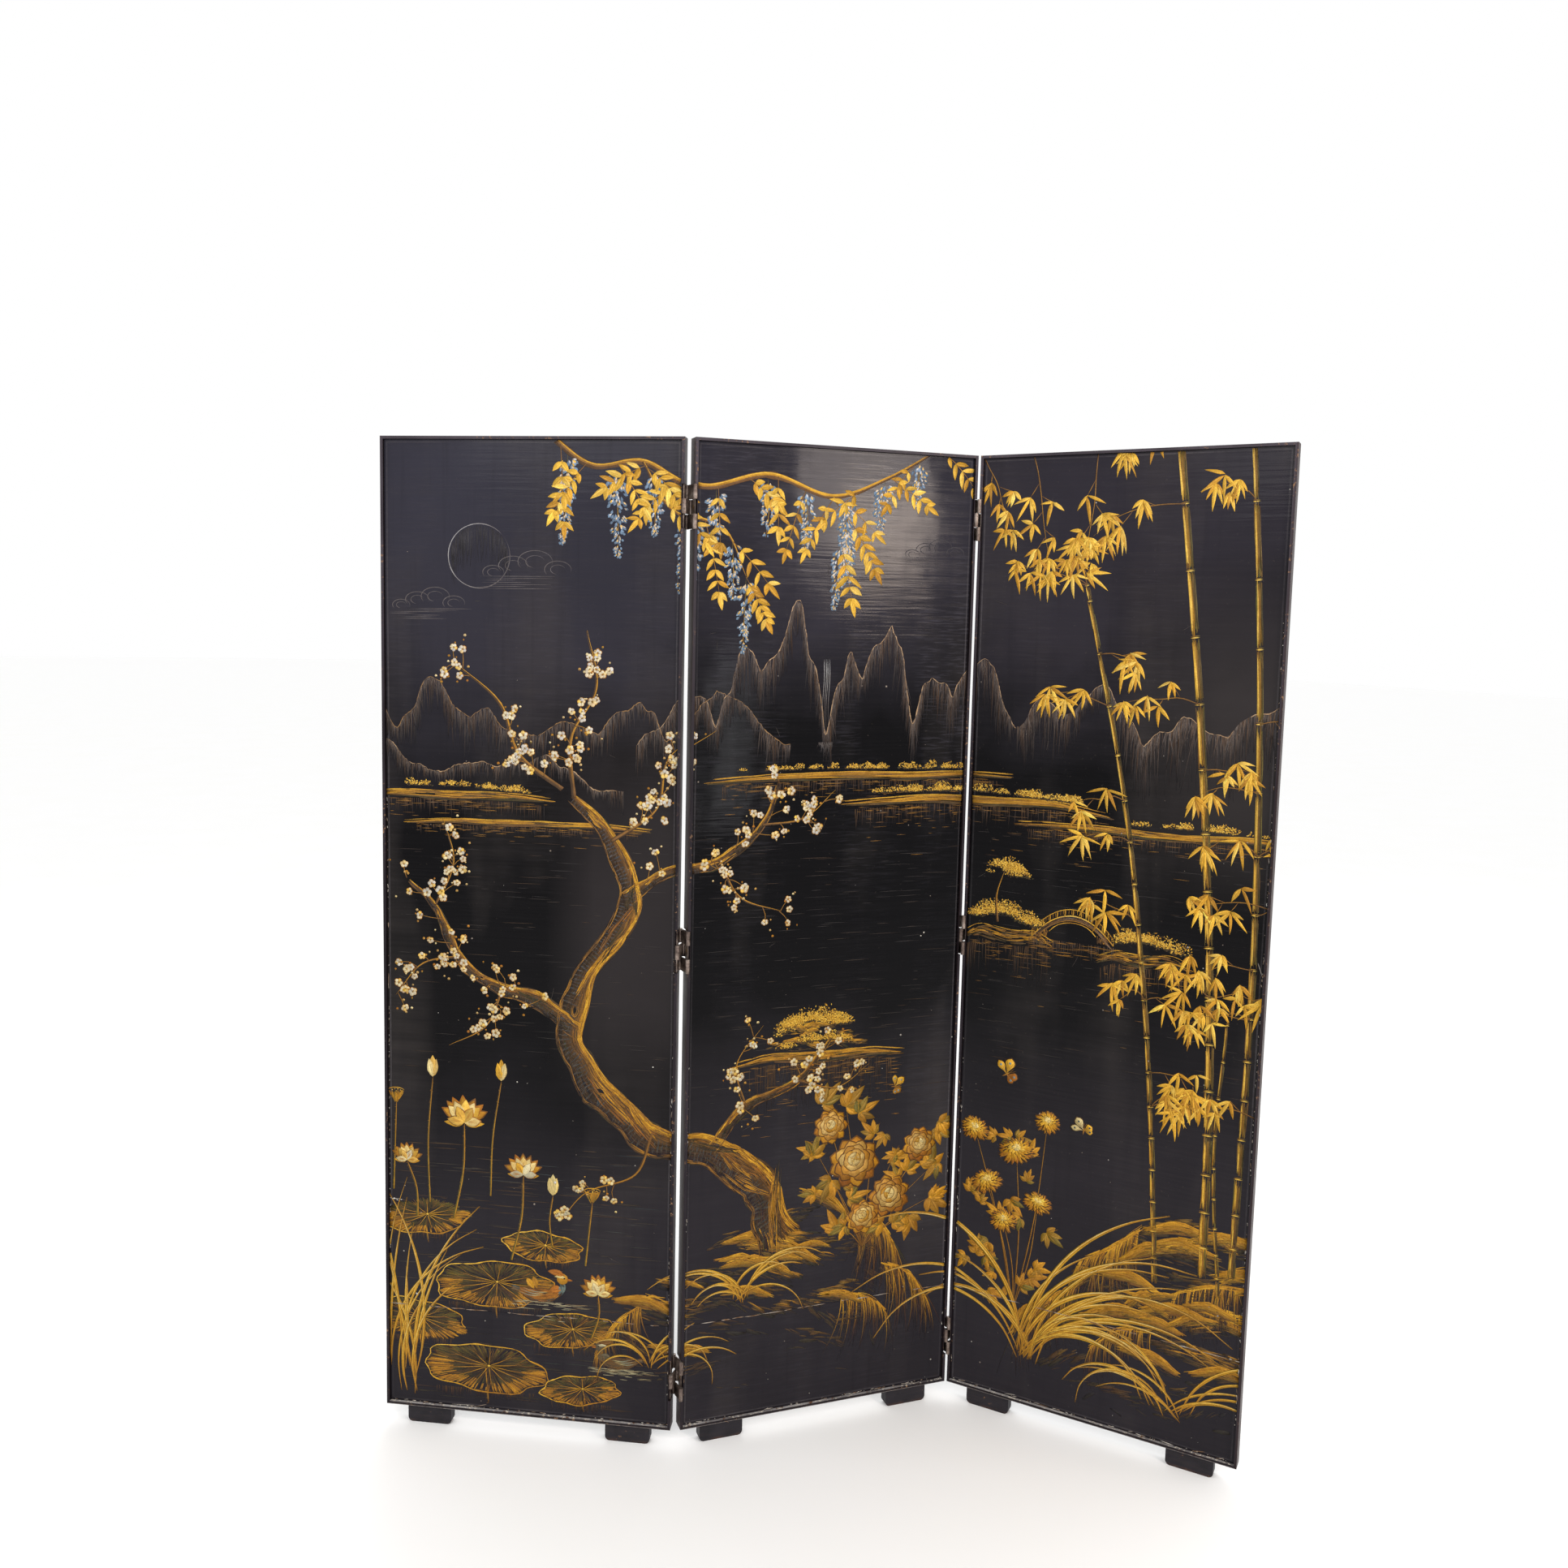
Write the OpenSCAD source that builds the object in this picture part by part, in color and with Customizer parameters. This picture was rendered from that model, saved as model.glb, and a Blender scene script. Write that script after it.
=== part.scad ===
// Three-panel folding lacquer screen, shown standing in its zigzag pose.
// Millimetres. The middle panel lies along X, painted faces look to -Y, +Z is up.
// Origin: on the floor, in the middle of the footprint.
// Each panel is a light wooden frame between two boards, closed all round by
// thin edge strips, on two small block feet. The panels are joined by two-way
// screen hinges: every hinge has crossing straps in three stacked segments, so
// a panel can fold to the front or to the back.

/* [Panels] */
// Width of one panel over its edge strips
panel_w = 543; // [440:1:640]
// Height of one panel without its feet
panel_h = 1794; // [1600:2:2000]
// Width of the edge strips as seen from the front
lip_t = 5; // [5:0.5:8]
// How far the painted face lies behind the edge strips
front_recess = 6; // [3:0.5:7]
// How far the back face lies behind the edge strips
back_recess = 2; // [1:0.5:4]
// Thickness of the front and back boards
board_t = 4; // [3:0.5:5]
// Thickness of the frame between the boards
core_t = 12; // [11:0.5:16]

/* [Inner frame] */
// Width of the upright stiles
stile_w = 45; // [35:1:60]
// Height of the top rail
top_rail_h = 45; // [35:1:60]
// Height of the wide bottom rail
bottom_rail_h = 192; // [120:2:240]
// Height of each cross rail
cross_rail_h = 40; // [30:1:60]
// Length of the tenons on the rails
tenon_l = 25; // [15:1:28]
// Thickness of the tenons
tenon_t = 4; // [3:0.5:5]
// Width of the hairline joint above the bottom rail
hairline_w = 0.7; // [0.4:0.1:1]
// Depth of that hairline in the front board
hairline_d = 0.8; // [0.4:0.1:1.5]

/* [Feet] */
// Width of a foot block
foot_w = 84; // [60:1:110]
// Height of a foot block
foot_h = 35; // [30:1:50]
// Front to back depth of a foot block
foot_d = 20; // [16:0.5:21]
// Distance from the panel's end to its foot
foot_inset = 39.5; // [20:0.5:80]
// How far the foot lies behind the front of the edge strips
foot_setback = 7; // [4:0.5:7]
// Radius of the foot's two lower corners
foot_round = 9; // [3:0.5:14]

/* [Hinges] */
// Height of a hinge
hinge_h = 76; // [60:1:90]
// Middle of the lowest hinge above the panel's base
hinge_low = 95; // [80:1:140]
// Middle of the centre hinge above the panel's base
hinge_mid = 897; // [700:1:1000]
// Middle of the top hinge below the panel's top
hinge_top = 117; // [80:1:200]
// Distance between neighbouring panels when the screen is flat
pin_gap = 11; // [10:0.5:12]
// Outer radius of the hinge barrels
barrel_r = 4; // [3.5:0.1:4]
// Radius of the hinge pins
pin_r = 2; // [1.5:0.1:2.2]
// Thickness of the crossing straps
strap_t = 1.6; // [1.2:0.1:1.6]
// Thickness of the hinge leaves
leaf_t = 2; // [1.6:0.1:2]

/* [Pose] */
// Fold of the left panel to the back, in degrees
left_fold = 26.5; // [0:0.5:120]
// Fold of the right panel to the front, in degrees
right_fold = 48; // [0:0.5:120]

/* [Hidden] */
$fn = 48;

LEFT = 0; CENTRE = 1; RIGHT = 2;

// section through a panel, front at -Y
panel_t = front_recess + 2*board_t + core_t + back_recess;
y_front = -panel_t/2;
y_face = y_front + front_recess;
y_core = y_face + board_t;
y_back_board = y_core + core_t;
face_w = panel_w - 2*lip_t;
face_h = panel_h - 2*lip_t;
core_y = y_core + core_t/2;

// hinge: pins lie on the panels' edge planes, half a millimetre inside the faces
pin_span = panel_t - 1;
strap_l = sqrt(pin_span*pin_span + pin_gap*pin_gap);
link_c = (strap_l - pin_span)/(strap_l + pin_span);
seg_h = hinge_h/3;
seg_gap = 0.3;      // between stacked segments
ear_h = 1.6;        // height of one ear
web_in = 8.2;       // from a pin to the strap's taller middle
axial = 0.1;        // between an ear and the strap's barrel
bore_fit = 0.05;    // running fit of a strap on its pin
leaf_half = 7;      // half width of a leaf
leaf_sink = 1.2;    // leaf below the panel's edge plane
pocket_x = 4.5;     // corner pockets for the barrels
pocket_y = 6;
mortise_x = leaf_sink + leaf_t;
hinge_zs = [hinge_low, hinge_mid, panel_h - hinge_top];
screw_r = 1.7;
screw_head_r = 3.2;
screw_l = 16;
screw_pitch = 26;
foot_screw_r = 2.25;
foot_screw_pitch = 44;
foot_y0 = y_front + foot_setback;

// crossing straps: for a fold th (front fold positive) the middle strap stands
// at p1 and the outer straps at p2, with p1 - p2 = th and tan(p1/2)*tan(p2/2) = link_c
function strap_p2(th) = let (n = tan(th/2)*(1 + link_c))
  2*atan((-n + sqrt(n*n + 4*link_c))/2);
function rot2(a, p) = [p.x*cos(a) - p.y*sin(a), p.x*sin(a) + p.y*cos(a)];

l_p2 = strap_p2(-left_fold);
l_p1 = l_p2 - left_fold;
r_p2 = strap_p2(right_fold);
r_p1 = r_p2 + right_fold;

half = panel_w/2;
span2 = pin_span/2;
// left crease, in the centre panel's frame
l_bf = [-half, -span2];
l_bb = [-half, span2];
l_af = l_bb - strap_l*[sin(l_p2), cos(l_p2)];
l_ab = l_bf + strap_l*[-sin(l_p1), cos(l_p1)];
// right crease
r_af = [half, -span2];
r_ab = [half, span2];
r_bb = r_af + strap_l*[sin(r_p1), cos(r_p1)];
r_bf = r_ab + strap_l*[sin(r_p2), -cos(r_p2)];

function left_pt(p) = rot2(-left_fold, p - [0, -span2]) + l_af;
function right_pt(p) = rot2(-right_fold, p - [0, span2]) + r_bb;
corners = concat(
  [for (x = [0, -panel_w], s = [-1, 1]) left_pt([x, s*panel_t/2])],
  [for (x = [0, panel_w], s = [-1, 1]) right_pt([x, s*panel_t/2])],
  [for (x = [-half, half], s = [-1, 1]) [x, s*panel_t/2]]);
mid_x = (max([for (c = corners) c.x]) + min([for (c = corners) c.x]))/2;
mid_y = (max([for (c = corners) c.y]) + min([for (c = corners) c.y]))/2;

lacquer = "#15161a";
brass = "#8f7a55";

// puts the frame of a panel (its own middle at x = 0, base at z = 0) in place
module at_panel(k)
  translate([-mid_x, -mid_y, foot_h])
    if (k == LEFT) translate([l_af.x, l_af.y, 0]) rotate([0, 0, -left_fold]) translate([-half, span2, 0]) children();
    else if (k == CENTRE) children();
    else translate([r_bb.x, r_bb.y, 0]) rotate([0, 0, -right_fold]) translate([half, -span2, 0]) children();

// side -1: left edge, side +1: right edge
function hinged(k, side) = (side < 0 && k > LEFT) || (side > 0 && k < RIGHT);

// turns an edge into the form x = 0 edge plane, panel towards -x, outer strip face at 0
module at_edge(side) translate([side*half, 0, 0]) rotate([0, 0, side > 0 ? 0 : 180]) children();

module screw_body(slot = false) difference() {
  union() {
    translate([-leaf_sink, 0, 0]) rotate([0, -90, 0]) cylinder(h = leaf_t, r1 = screw_head_r, r2 = screw_r);
    translate([-leaf_sink - leaf_t, 0, 0]) rotate([0, -90, 0]) cylinder(h = screw_l - leaf_t, r = screw_r);
  }
  if (slot) translate([-leaf_sink - 0.8, -3.5, -0.4]) cube([2, 7, 0.8]);
}
module edge_screws(slot = false)
  for (z = hinge_zs, i = [-1, 0, 1]) translate([0, 0, z + i*screw_pitch]) screw_body(slot);

module foot_screw_body(slot = false) difference() {
  union() {
    translate([0, 0, -foot_h + 15]) cylinder(h = 3, r = 4.5);
    translate([0, 0, -foot_h + 18]) cylinder(h = foot_h - 18 + lip_t + 25, r = foot_screw_r);
  }
  if (slot) {
    translate([-3, -0.5, -foot_h + 14]) cube([6, 1, 2.6]);
    translate([-0.5, -3, -foot_h + 14]) cube([1, 6, 2.6]);
  }
}
module at_foot_screws() for (s = [-1, 1], i = [-1, 1])
  translate([s*(half - foot_inset - foot_w/2) + i*foot_screw_pitch/2, core_y, 0]) children();

// inner frame -------------------------------------------------------------
cross_z = [panel_h*0.355, panel_h*0.69];
module tenons(z0, h, clear = 0) for (s = [-1, 1])
  translate([s*(half - lip_t - stile_w + tenon_l/2) - tenon_l/2, core_y - tenon_t/2, z0]) cube([tenon_l, tenon_t, h]);
module all_tenons() {
  tenons(panel_h - lip_t - top_rail_h + 8, top_rail_h - 16);
  tenons(lip_t + 20, bottom_rail_h - 40);
  for (z = cross_z) tenons(z + 6, cross_rail_h - 12);
}
module stile(k, side) color("#b08d62") at_panel(k) difference() {
  at_edge(side) translate([-lip_t - stile_w, side > 0 ? y_core : -y_core - core_t, lip_t])
    cube([stile_w, core_t, face_h]);
  all_tenons();
  if (hinged(k, side)) at_edge(side) edge_screws();
}
module rail(z0, h, t0, th) union() {
  translate([-half + lip_t + stile_w, y_core, z0]) cube([panel_w - 2*lip_t - 2*stile_w, core_t, h]);
  tenons(t0, th);
}
module top_rail(k) color("#b08d62") at_panel(k)
  rail(panel_h - lip_t - top_rail_h, top_rail_h, panel_h - lip_t - top_rail_h + 8, top_rail_h - 16);
module bottom_rail(k) color("#b08d62") at_panel(k) difference() {
  rail(lip_t, bottom_rail_h, lip_t + 20, bottom_rail_h - 40);
  at_foot_screws() foot_screw_body();
}
module cross_rails(k) color("#b08d62") at_panel(k)
  for (z = cross_z) rail(z, cross_rail_h, z + 6, cross_rail_h - 12);

// boards --------------------------------------------------------------------
module front_board(k) color(lacquer) at_panel(k) difference() {
  translate([-face_w/2, y_face, lip_t]) cube([face_w, board_t, face_h]);
  translate([-face_w/2 - 1, y_face - 1, lip_t + bottom_rail_h - hairline_w/2]) cube([face_w + 2, 1 + hairline_d, hairline_w]);
}
module back_board(k) color(lacquer) at_panel(k)
  translate([-face_w/2, y_back_board, lip_t]) cube([face_w, board_t, face_h]);

// edge strips ---------------------------------------------------------------
module hinge_seats() for (z = hinge_zs) translate([0, 0, z - hinge_h/2]) {
  translate([-mortise_x, -panel_t/2 - 1, 0]) cube([mortise_x + 1, panel_t + 2, hinge_h]);
  for (s = [-1, 1]) translate([-pocket_x, s > 0 ? panel_t/2 - pocket_y : -panel_t/2 - 1, 0])
    cube([pocket_x + 1, pocket_y + 1, hinge_h]);
}
module side_strip(k, side) color(lacquer) at_panel(k) difference() {
  at_edge(side) translate([-lip_t, -panel_t/2, 0]) cube([lip_t, panel_t, panel_h]);
  if (hinged(k, side)) at_edge(side) { hinge_seats(); edge_screws(); }
}
module top_strip(k) color(lacquer) at_panel(k)
  translate([-face_w/2, -panel_t/2, panel_h - lip_t]) cube([face_w, panel_t, lip_t]);
module bottom_strip(k) color(lacquer) at_panel(k) difference() {
  translate([-face_w/2, -panel_t/2, 0]) cube([face_w, panel_t, lip_t]);
  at_foot_screws() foot_screw_body();
}

// feet ------------------------------------------------------------------------
module foot_outline() {
  translate([0, foot_round]) square([foot_w, foot_h - foot_round]);
  translate([foot_round, 0]) square([foot_w - 2*foot_round, foot_h]);
  for (x = [foot_round, foot_w - foot_round]) translate([x, foot_round]) circle(r = foot_round, $fn = 64);
}
module foot(k, side) color("#17130f") at_panel(k) difference() {
  translate([side*(half - foot_inset - foot_w/2) - foot_w/2, foot_y0 + foot_d, -foot_h])
    rotate([90, 0, 0]) linear_extrude(foot_d) foot_outline();
  at_foot_screws() {
    foot_screw_body();
    translate([0, 0, -foot_h - 1]) cylinder(h = 16, r = 5);
  }
}
module foot_screws(k) color("#6f6f72") at_panel(k) at_foot_screws() foot_screw_body(true);

// hinges ------------------------------------------------------------------------
// base of segment i (0, 1, 2) of the hinge at height z
function seg_z(z, i) = z - hinge_h/2 + i*seg_h;
// front or back pin of a leaf, for a panel that lies towards -x
function leaf_pin_y(i) = i == 1 ? -span2 : span2;
module ear(z, y) {
  translate([0, y, z]) cylinder(h = ear_h, r = barrel_r);
  translate([-mortise_x, y > 0 ? leaf_half - 1 : -span2 - 1, z]) cube([mortise_x - 0.4, span2 - leaf_half + 2, ear_h]);
}
module leaf(z) difference() {
  union() {
    translate([-mortise_x, -leaf_half, z - hinge_h/2]) cube([leaf_t, 2*leaf_half, hinge_h]);
    for (i = [0, 1, 2]) {
      ear(seg_z(z, i) + seg_gap/2, leaf_pin_y(i));
      ear(seg_z(z, i) + seg_h - seg_gap/2 - ear_h, leaf_pin_y(i));
    }
  }
  for (i = [0, 1, 2]) translate([0, leaf_pin_y(i), seg_z(z, i) - 1]) cylinder(h = seg_h + 2, r = pin_r);
  for (i = [-1, 0, 1]) translate([0, 0, z + i*screw_pitch]) screw_body();
}
module hinge_leaves(k, side) color(brass) at_panel(k) at_edge(side) for (z = hinge_zs) leaf(z);

// a strap from point a to point b in segment i, bores of radius ra and rb
module strap(z, i, a, b, ra, rb) {
  d = b - a;
  h = seg_h - seg_gap - 2*ear_h - 2*axial;
  translate([a.x, a.y, seg_z(z, i) + seg_gap/2 + ear_h + axial]) rotate([0, 0, atan2(d.y, d.x) - 90]) difference() {
    union() {
      cylinder(h = h, r = barrel_r);
      translate([0, norm(d), 0]) cylinder(h = h, r = barrel_r);
      translate([-strap_t/2, 3, 0]) cube([strap_t, norm(d) - 6, h]);
      translate([-strap_t/2, web_in, -ear_h - axial]) cube([strap_t, norm(d) - 2*web_in, seg_h - seg_gap]);
    }
    translate([0, 0, -1]) cylinder(h = h + 2, r = ra);
    translate([0, norm(d), -1]) cylinder(h = h + 2, r = rb);
  }
}
run_r = pin_r + bore_fit;
module left_middle_straps() color(brass) at_panel(CENTRE)
  for (z = hinge_zs) strap(z, 1, l_af, l_bb, run_r, run_r);
module left_outer_straps() color(brass) at_panel(CENTRE)
  for (z = hinge_zs, i = [0, 2]) strap(z, i, l_ab, l_bf, pin_r, run_r);
module right_middle_straps() color(brass) at_panel(CENTRE)
  for (z = hinge_zs) strap(z, 1, r_af, r_bb, run_r, run_r);
module right_outer_straps() color(brass) at_panel(CENTRE)
  for (z = hinge_zs, i = [0, 2]) strap(z, i, r_ab, r_bf, run_r, pin_r);

// pins: whole ones run from ear to ear, split ones have a stub in each ear and
// a piece inside the strap's barrel
module whole_pin(z, i, p) translate([p.x, p.y, seg_z(z, i) + seg_gap/2]) cylinder(h = seg_h - seg_gap, r = pin_r);
module pin_stubs(z, i, p) for (dz = [seg_gap/2, seg_h - seg_gap/2 - ear_h])
  translate([p.x, p.y, seg_z(z, i) + dz]) cylinder(h = ear_h, r = pin_r);
module barrel_pin(z, i, p) translate([p.x, p.y, seg_z(z, i) + seg_gap/2 + ear_h + axial])
  cylinder(h = seg_h - seg_gap - 2*ear_h - 2*axial, r = pin_r);
module left_panel_hinge_pins() color("#9a9a98") at_panel(CENTRE) for (z = hinge_zs) {
  whole_pin(z, 1, l_af);
  for (i = [0, 2]) pin_stubs(z, i, l_ab);
}
module centre_panel_hinge_pins() color("#9a9a98") at_panel(CENTRE) for (z = hinge_zs) {
  whole_pin(z, 1, l_bb);
  for (i = [0, 2]) whole_pin(z, i, l_bf);
  whole_pin(z, 1, r_af);
  for (i = [0, 2]) whole_pin(z, i, r_ab);
}
module right_panel_hinge_pins() color("#9a9a98") at_panel(CENTRE) for (z = hinge_zs) {
  whole_pin(z, 1, r_bb);
  for (i = [0, 2]) pin_stubs(z, i, r_bf);
}
module left_outer_strap_pins() color("#9a9a98") at_panel(CENTRE)
  for (z = hinge_zs, i = [0, 2]) barrel_pin(z, i, l_ab);
module right_outer_strap_pins() color("#9a9a98") at_panel(CENTRE)
  for (z = hinge_zs, i = [0, 2]) barrel_pin(z, i, r_bf);
module hinge_screws(k) color("#b59a5a") at_panel(k)
  for (side = [-1, 1]) if (hinged(k, side)) at_edge(side) edge_screws(true);

stile(LEFT, -1);  // left_panel_left_stile
stile(LEFT, 1);  // left_panel_right_stile
top_rail(LEFT);  // left_panel_top_rail
bottom_rail(LEFT);  // left_panel_bottom_rail
cross_rails(LEFT);  // left_panel_cross_rails
front_board(LEFT);  // left_panel_front_board
back_board(LEFT);  // left_panel_back_board
side_strip(LEFT, -1);  // left_panel_left_edge_strip
side_strip(LEFT, 1);  // left_panel_right_edge_strip
top_strip(LEFT);  // left_panel_top_edge_strip
bottom_strip(LEFT);  // left_panel_bottom_edge_strip
foot(LEFT, -1);  // left_panel_left_foot
foot(LEFT, 1);  // left_panel_right_foot
foot_screws(LEFT);  // left_panel_foot_screws
stile(CENTRE, -1);  // centre_panel_left_stile
stile(CENTRE, 1);  // centre_panel_right_stile
top_rail(CENTRE);  // centre_panel_top_rail
bottom_rail(CENTRE);  // centre_panel_bottom_rail
cross_rails(CENTRE);  // centre_panel_cross_rails
front_board(CENTRE);  // centre_panel_front_board
back_board(CENTRE);  // centre_panel_back_board
side_strip(CENTRE, -1);  // centre_panel_left_edge_strip
side_strip(CENTRE, 1);  // centre_panel_right_edge_strip
top_strip(CENTRE);  // centre_panel_top_edge_strip
bottom_strip(CENTRE);  // centre_panel_bottom_edge_strip
foot(CENTRE, -1);  // centre_panel_left_foot
foot(CENTRE, 1);  // centre_panel_right_foot
foot_screws(CENTRE);  // centre_panel_foot_screws
stile(RIGHT, -1);  // right_panel_left_stile
stile(RIGHT, 1);  // right_panel_right_stile
top_rail(RIGHT);  // right_panel_top_rail
bottom_rail(RIGHT);  // right_panel_bottom_rail
cross_rails(RIGHT);  // right_panel_cross_rails
front_board(RIGHT);  // right_panel_front_board
back_board(RIGHT);  // right_panel_back_board
side_strip(RIGHT, -1);  // right_panel_left_edge_strip
side_strip(RIGHT, 1);  // right_panel_right_edge_strip
top_strip(RIGHT);  // right_panel_top_edge_strip
bottom_strip(RIGHT);  // right_panel_bottom_edge_strip
foot(RIGHT, -1);  // right_panel_left_foot
foot(RIGHT, 1);  // right_panel_right_foot
foot_screws(RIGHT);  // right_panel_foot_screws
hinge_leaves(LEFT, 1);  // left_panel_hinge_leaves
hinge_leaves(CENTRE, -1);  // centre_left_hinge_leaves
hinge_leaves(CENTRE, 1);  // centre_right_hinge_leaves
hinge_leaves(RIGHT, -1);  // right_panel_hinge_leaves
left_middle_straps();
left_outer_straps();
right_middle_straps();
right_outer_straps();
left_panel_hinge_pins();
centre_panel_hinge_pins();
right_panel_hinge_pins();
left_outer_strap_pins();
right_outer_strap_pins();
hinge_screws(LEFT);  // left_panel_hinge_screws
hinge_screws(CENTRE);  // centre_panel_hinge_screws
hinge_screws(RIGHT);  // right_panel_hinge_screws
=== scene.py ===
import bpy, math
import numpy as np
from mathutils import Matrix, Vector


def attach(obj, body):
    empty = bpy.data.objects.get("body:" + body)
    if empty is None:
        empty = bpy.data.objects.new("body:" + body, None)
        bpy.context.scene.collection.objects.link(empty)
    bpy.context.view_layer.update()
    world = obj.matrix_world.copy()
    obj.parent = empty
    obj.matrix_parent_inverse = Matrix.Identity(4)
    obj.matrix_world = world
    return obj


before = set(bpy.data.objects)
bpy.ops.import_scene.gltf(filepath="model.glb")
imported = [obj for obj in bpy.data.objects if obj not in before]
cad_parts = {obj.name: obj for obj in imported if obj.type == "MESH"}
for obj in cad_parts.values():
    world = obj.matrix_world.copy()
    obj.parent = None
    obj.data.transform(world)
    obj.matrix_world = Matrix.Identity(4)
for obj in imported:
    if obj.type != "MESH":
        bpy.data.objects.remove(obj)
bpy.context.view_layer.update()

RNG = np.random.default_rng(20260411)

# ---------------------------------------------------------------- dimensions (mm)
W, H, T = 543.0, 1794.0, 28.0
FOOT = 35.0
LEFT_FOLD, RIGHT_FOLD = 26.5, 48.0
SPAN, GAP = 27.0, 11.0
Y_FACE = -T / 2 + 6.0
Y_BACK = T / 2 - 2.0


def strap_p2(th):
    l = math.hypot(SPAN, GAP)
    c = (l - SPAN) / (l + SPAN)
    n = math.tan(math.radians(th) / 2) * (1 + c)
    return 2 * math.atan((-n + math.sqrt(n * n + 4 * c)) / 2)


def rot2(a, p):
    a = math.radians(a)
    return (p[0] * math.cos(a) - p[1] * math.sin(a), p[0] * math.sin(a) + p[1] * math.cos(a))


STRAP = math.hypot(SPAN, GAP)
lp2 = strap_p2(-LEFT_FOLD)
rp1 = strap_p2(RIGHT_FOLD) + math.radians(RIGHT_FOLD)
L_AF = (-W / 2 - STRAP * math.sin(lp2), SPAN / 2 - STRAP * math.cos(lp2))
R_BB = (W / 2 + STRAP * math.sin(rp1), -SPAN / 2 + STRAP * math.cos(rp1))


def _left(x, y):
    q = rot2(-LEFT_FOLD, (x, y + SPAN / 2))
    return (q[0] + L_AF[0], q[1] + L_AF[1])


def _right(x, y):
    q = rot2(-RIGHT_FOLD, (x, y - SPAN / 2))
    return (q[0] + R_BB[0], q[1] + R_BB[1])


_c = [_left(x, y) for x in (0, -W) for y in (-T / 2, T / 2)]
_c += [_right(x, y) for x in (0, W) for y in (-T / 2, T / 2)]
_c += [(x, y) for x in (-W / 2, W / 2) for y in (-T / 2, T / 2)]
MID = ((max(p[0] for p in _c) + min(p[0] for p in _c)) / 2, (max(p[1] for p in _c) + min(p[1] for p in _c)) / 2)

PANELS = {
    "left_panel": dict(angle=-LEFT_FOLD, shift=(-W / 2, SPAN / 2), at=L_AF),
    "centre_panel": dict(angle=0.0, shift=(0.0, 0.0), at=(0.0, 0.0)),
    "right_panel": dict(angle=-RIGHT_FOLD, shift=(W / 2, -SPAN / 2), at=R_BB),
}


def to_row(panel, xyz):
    """panel frame (mm, x from the panel's middle, z from its base) to the row frame (m)"""
    p = PANELS[panel]
    a = math.radians(p["angle"])
    x = xyz[:, 0] + p["shift"][0]
    y = xyz[:, 1] + p["shift"][1]
    out = np.empty_like(xyz)
    out[:, 0] = x * math.cos(a) - y * math.sin(a) + p["at"][0] - MID[0]
    out[:, 1] = x * math.sin(a) + y * math.cos(a) + p["at"][1] - MID[1]
    out[:, 2] = xyz[:, 2] + FOOT
    return out / 1000.0


# ---------------------------------------------------------------- camera
F_PX, CX, CY = 1645.97, 913.2, 935.0
CAM_POS = Vector((-0.89357, -2.15248, 1.51612))
YAW, PITCH, ROLL = (math.radians(a) for a in (-19.2016, 5.8384, 1.1412))
fwd = Vector((-math.sin(YAW) * math.cos(PITCH), math.cos(YAW) * math.cos(PITCH), -math.sin(PITCH)))
rt = Vector((math.cos(YAW), math.sin(YAW), 0))
up = rt.cross(fwd)
rt2 = rt * math.cos(ROLL) + up * math.sin(ROLL)
up2 = -rt * math.sin(ROLL) + up * math.cos(ROLL)
cam_data = bpy.data.cameras.new("camera")
cam_data.sensor_width = 36.0
cam_data.sensor_fit = "HORIZONTAL"
cam_data.lens = 36.0 * F_PX / 1932.0
cam_data.shift_x = (966.0 - CX) / 1932.0
cam_data.shift_y = (CY - 966.0) / 1932.0
cam_data.clip_end = 60
camera = bpy.data.objects.new("camera", cam_data)
m = Matrix.Identity(4)
for i, v in enumerate((rt2, up2, -fwd)):
    for j in range(3):
        m[j][i] = v[j]
m.translation = CAM_POS
camera.matrix_world = m
bpy.context.scene.collection.objects.link(camera)
bpy.context.scene.camera = camera


# ---------------------------------------------------------------- materials
def srgb(r, g, b):
    return tuple((c / 255 / 12.92) if c / 255 <= 0.04045 else ((c / 255 + 0.055) / 1.055) ** 2.4 for c in (r, g, b))


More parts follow.
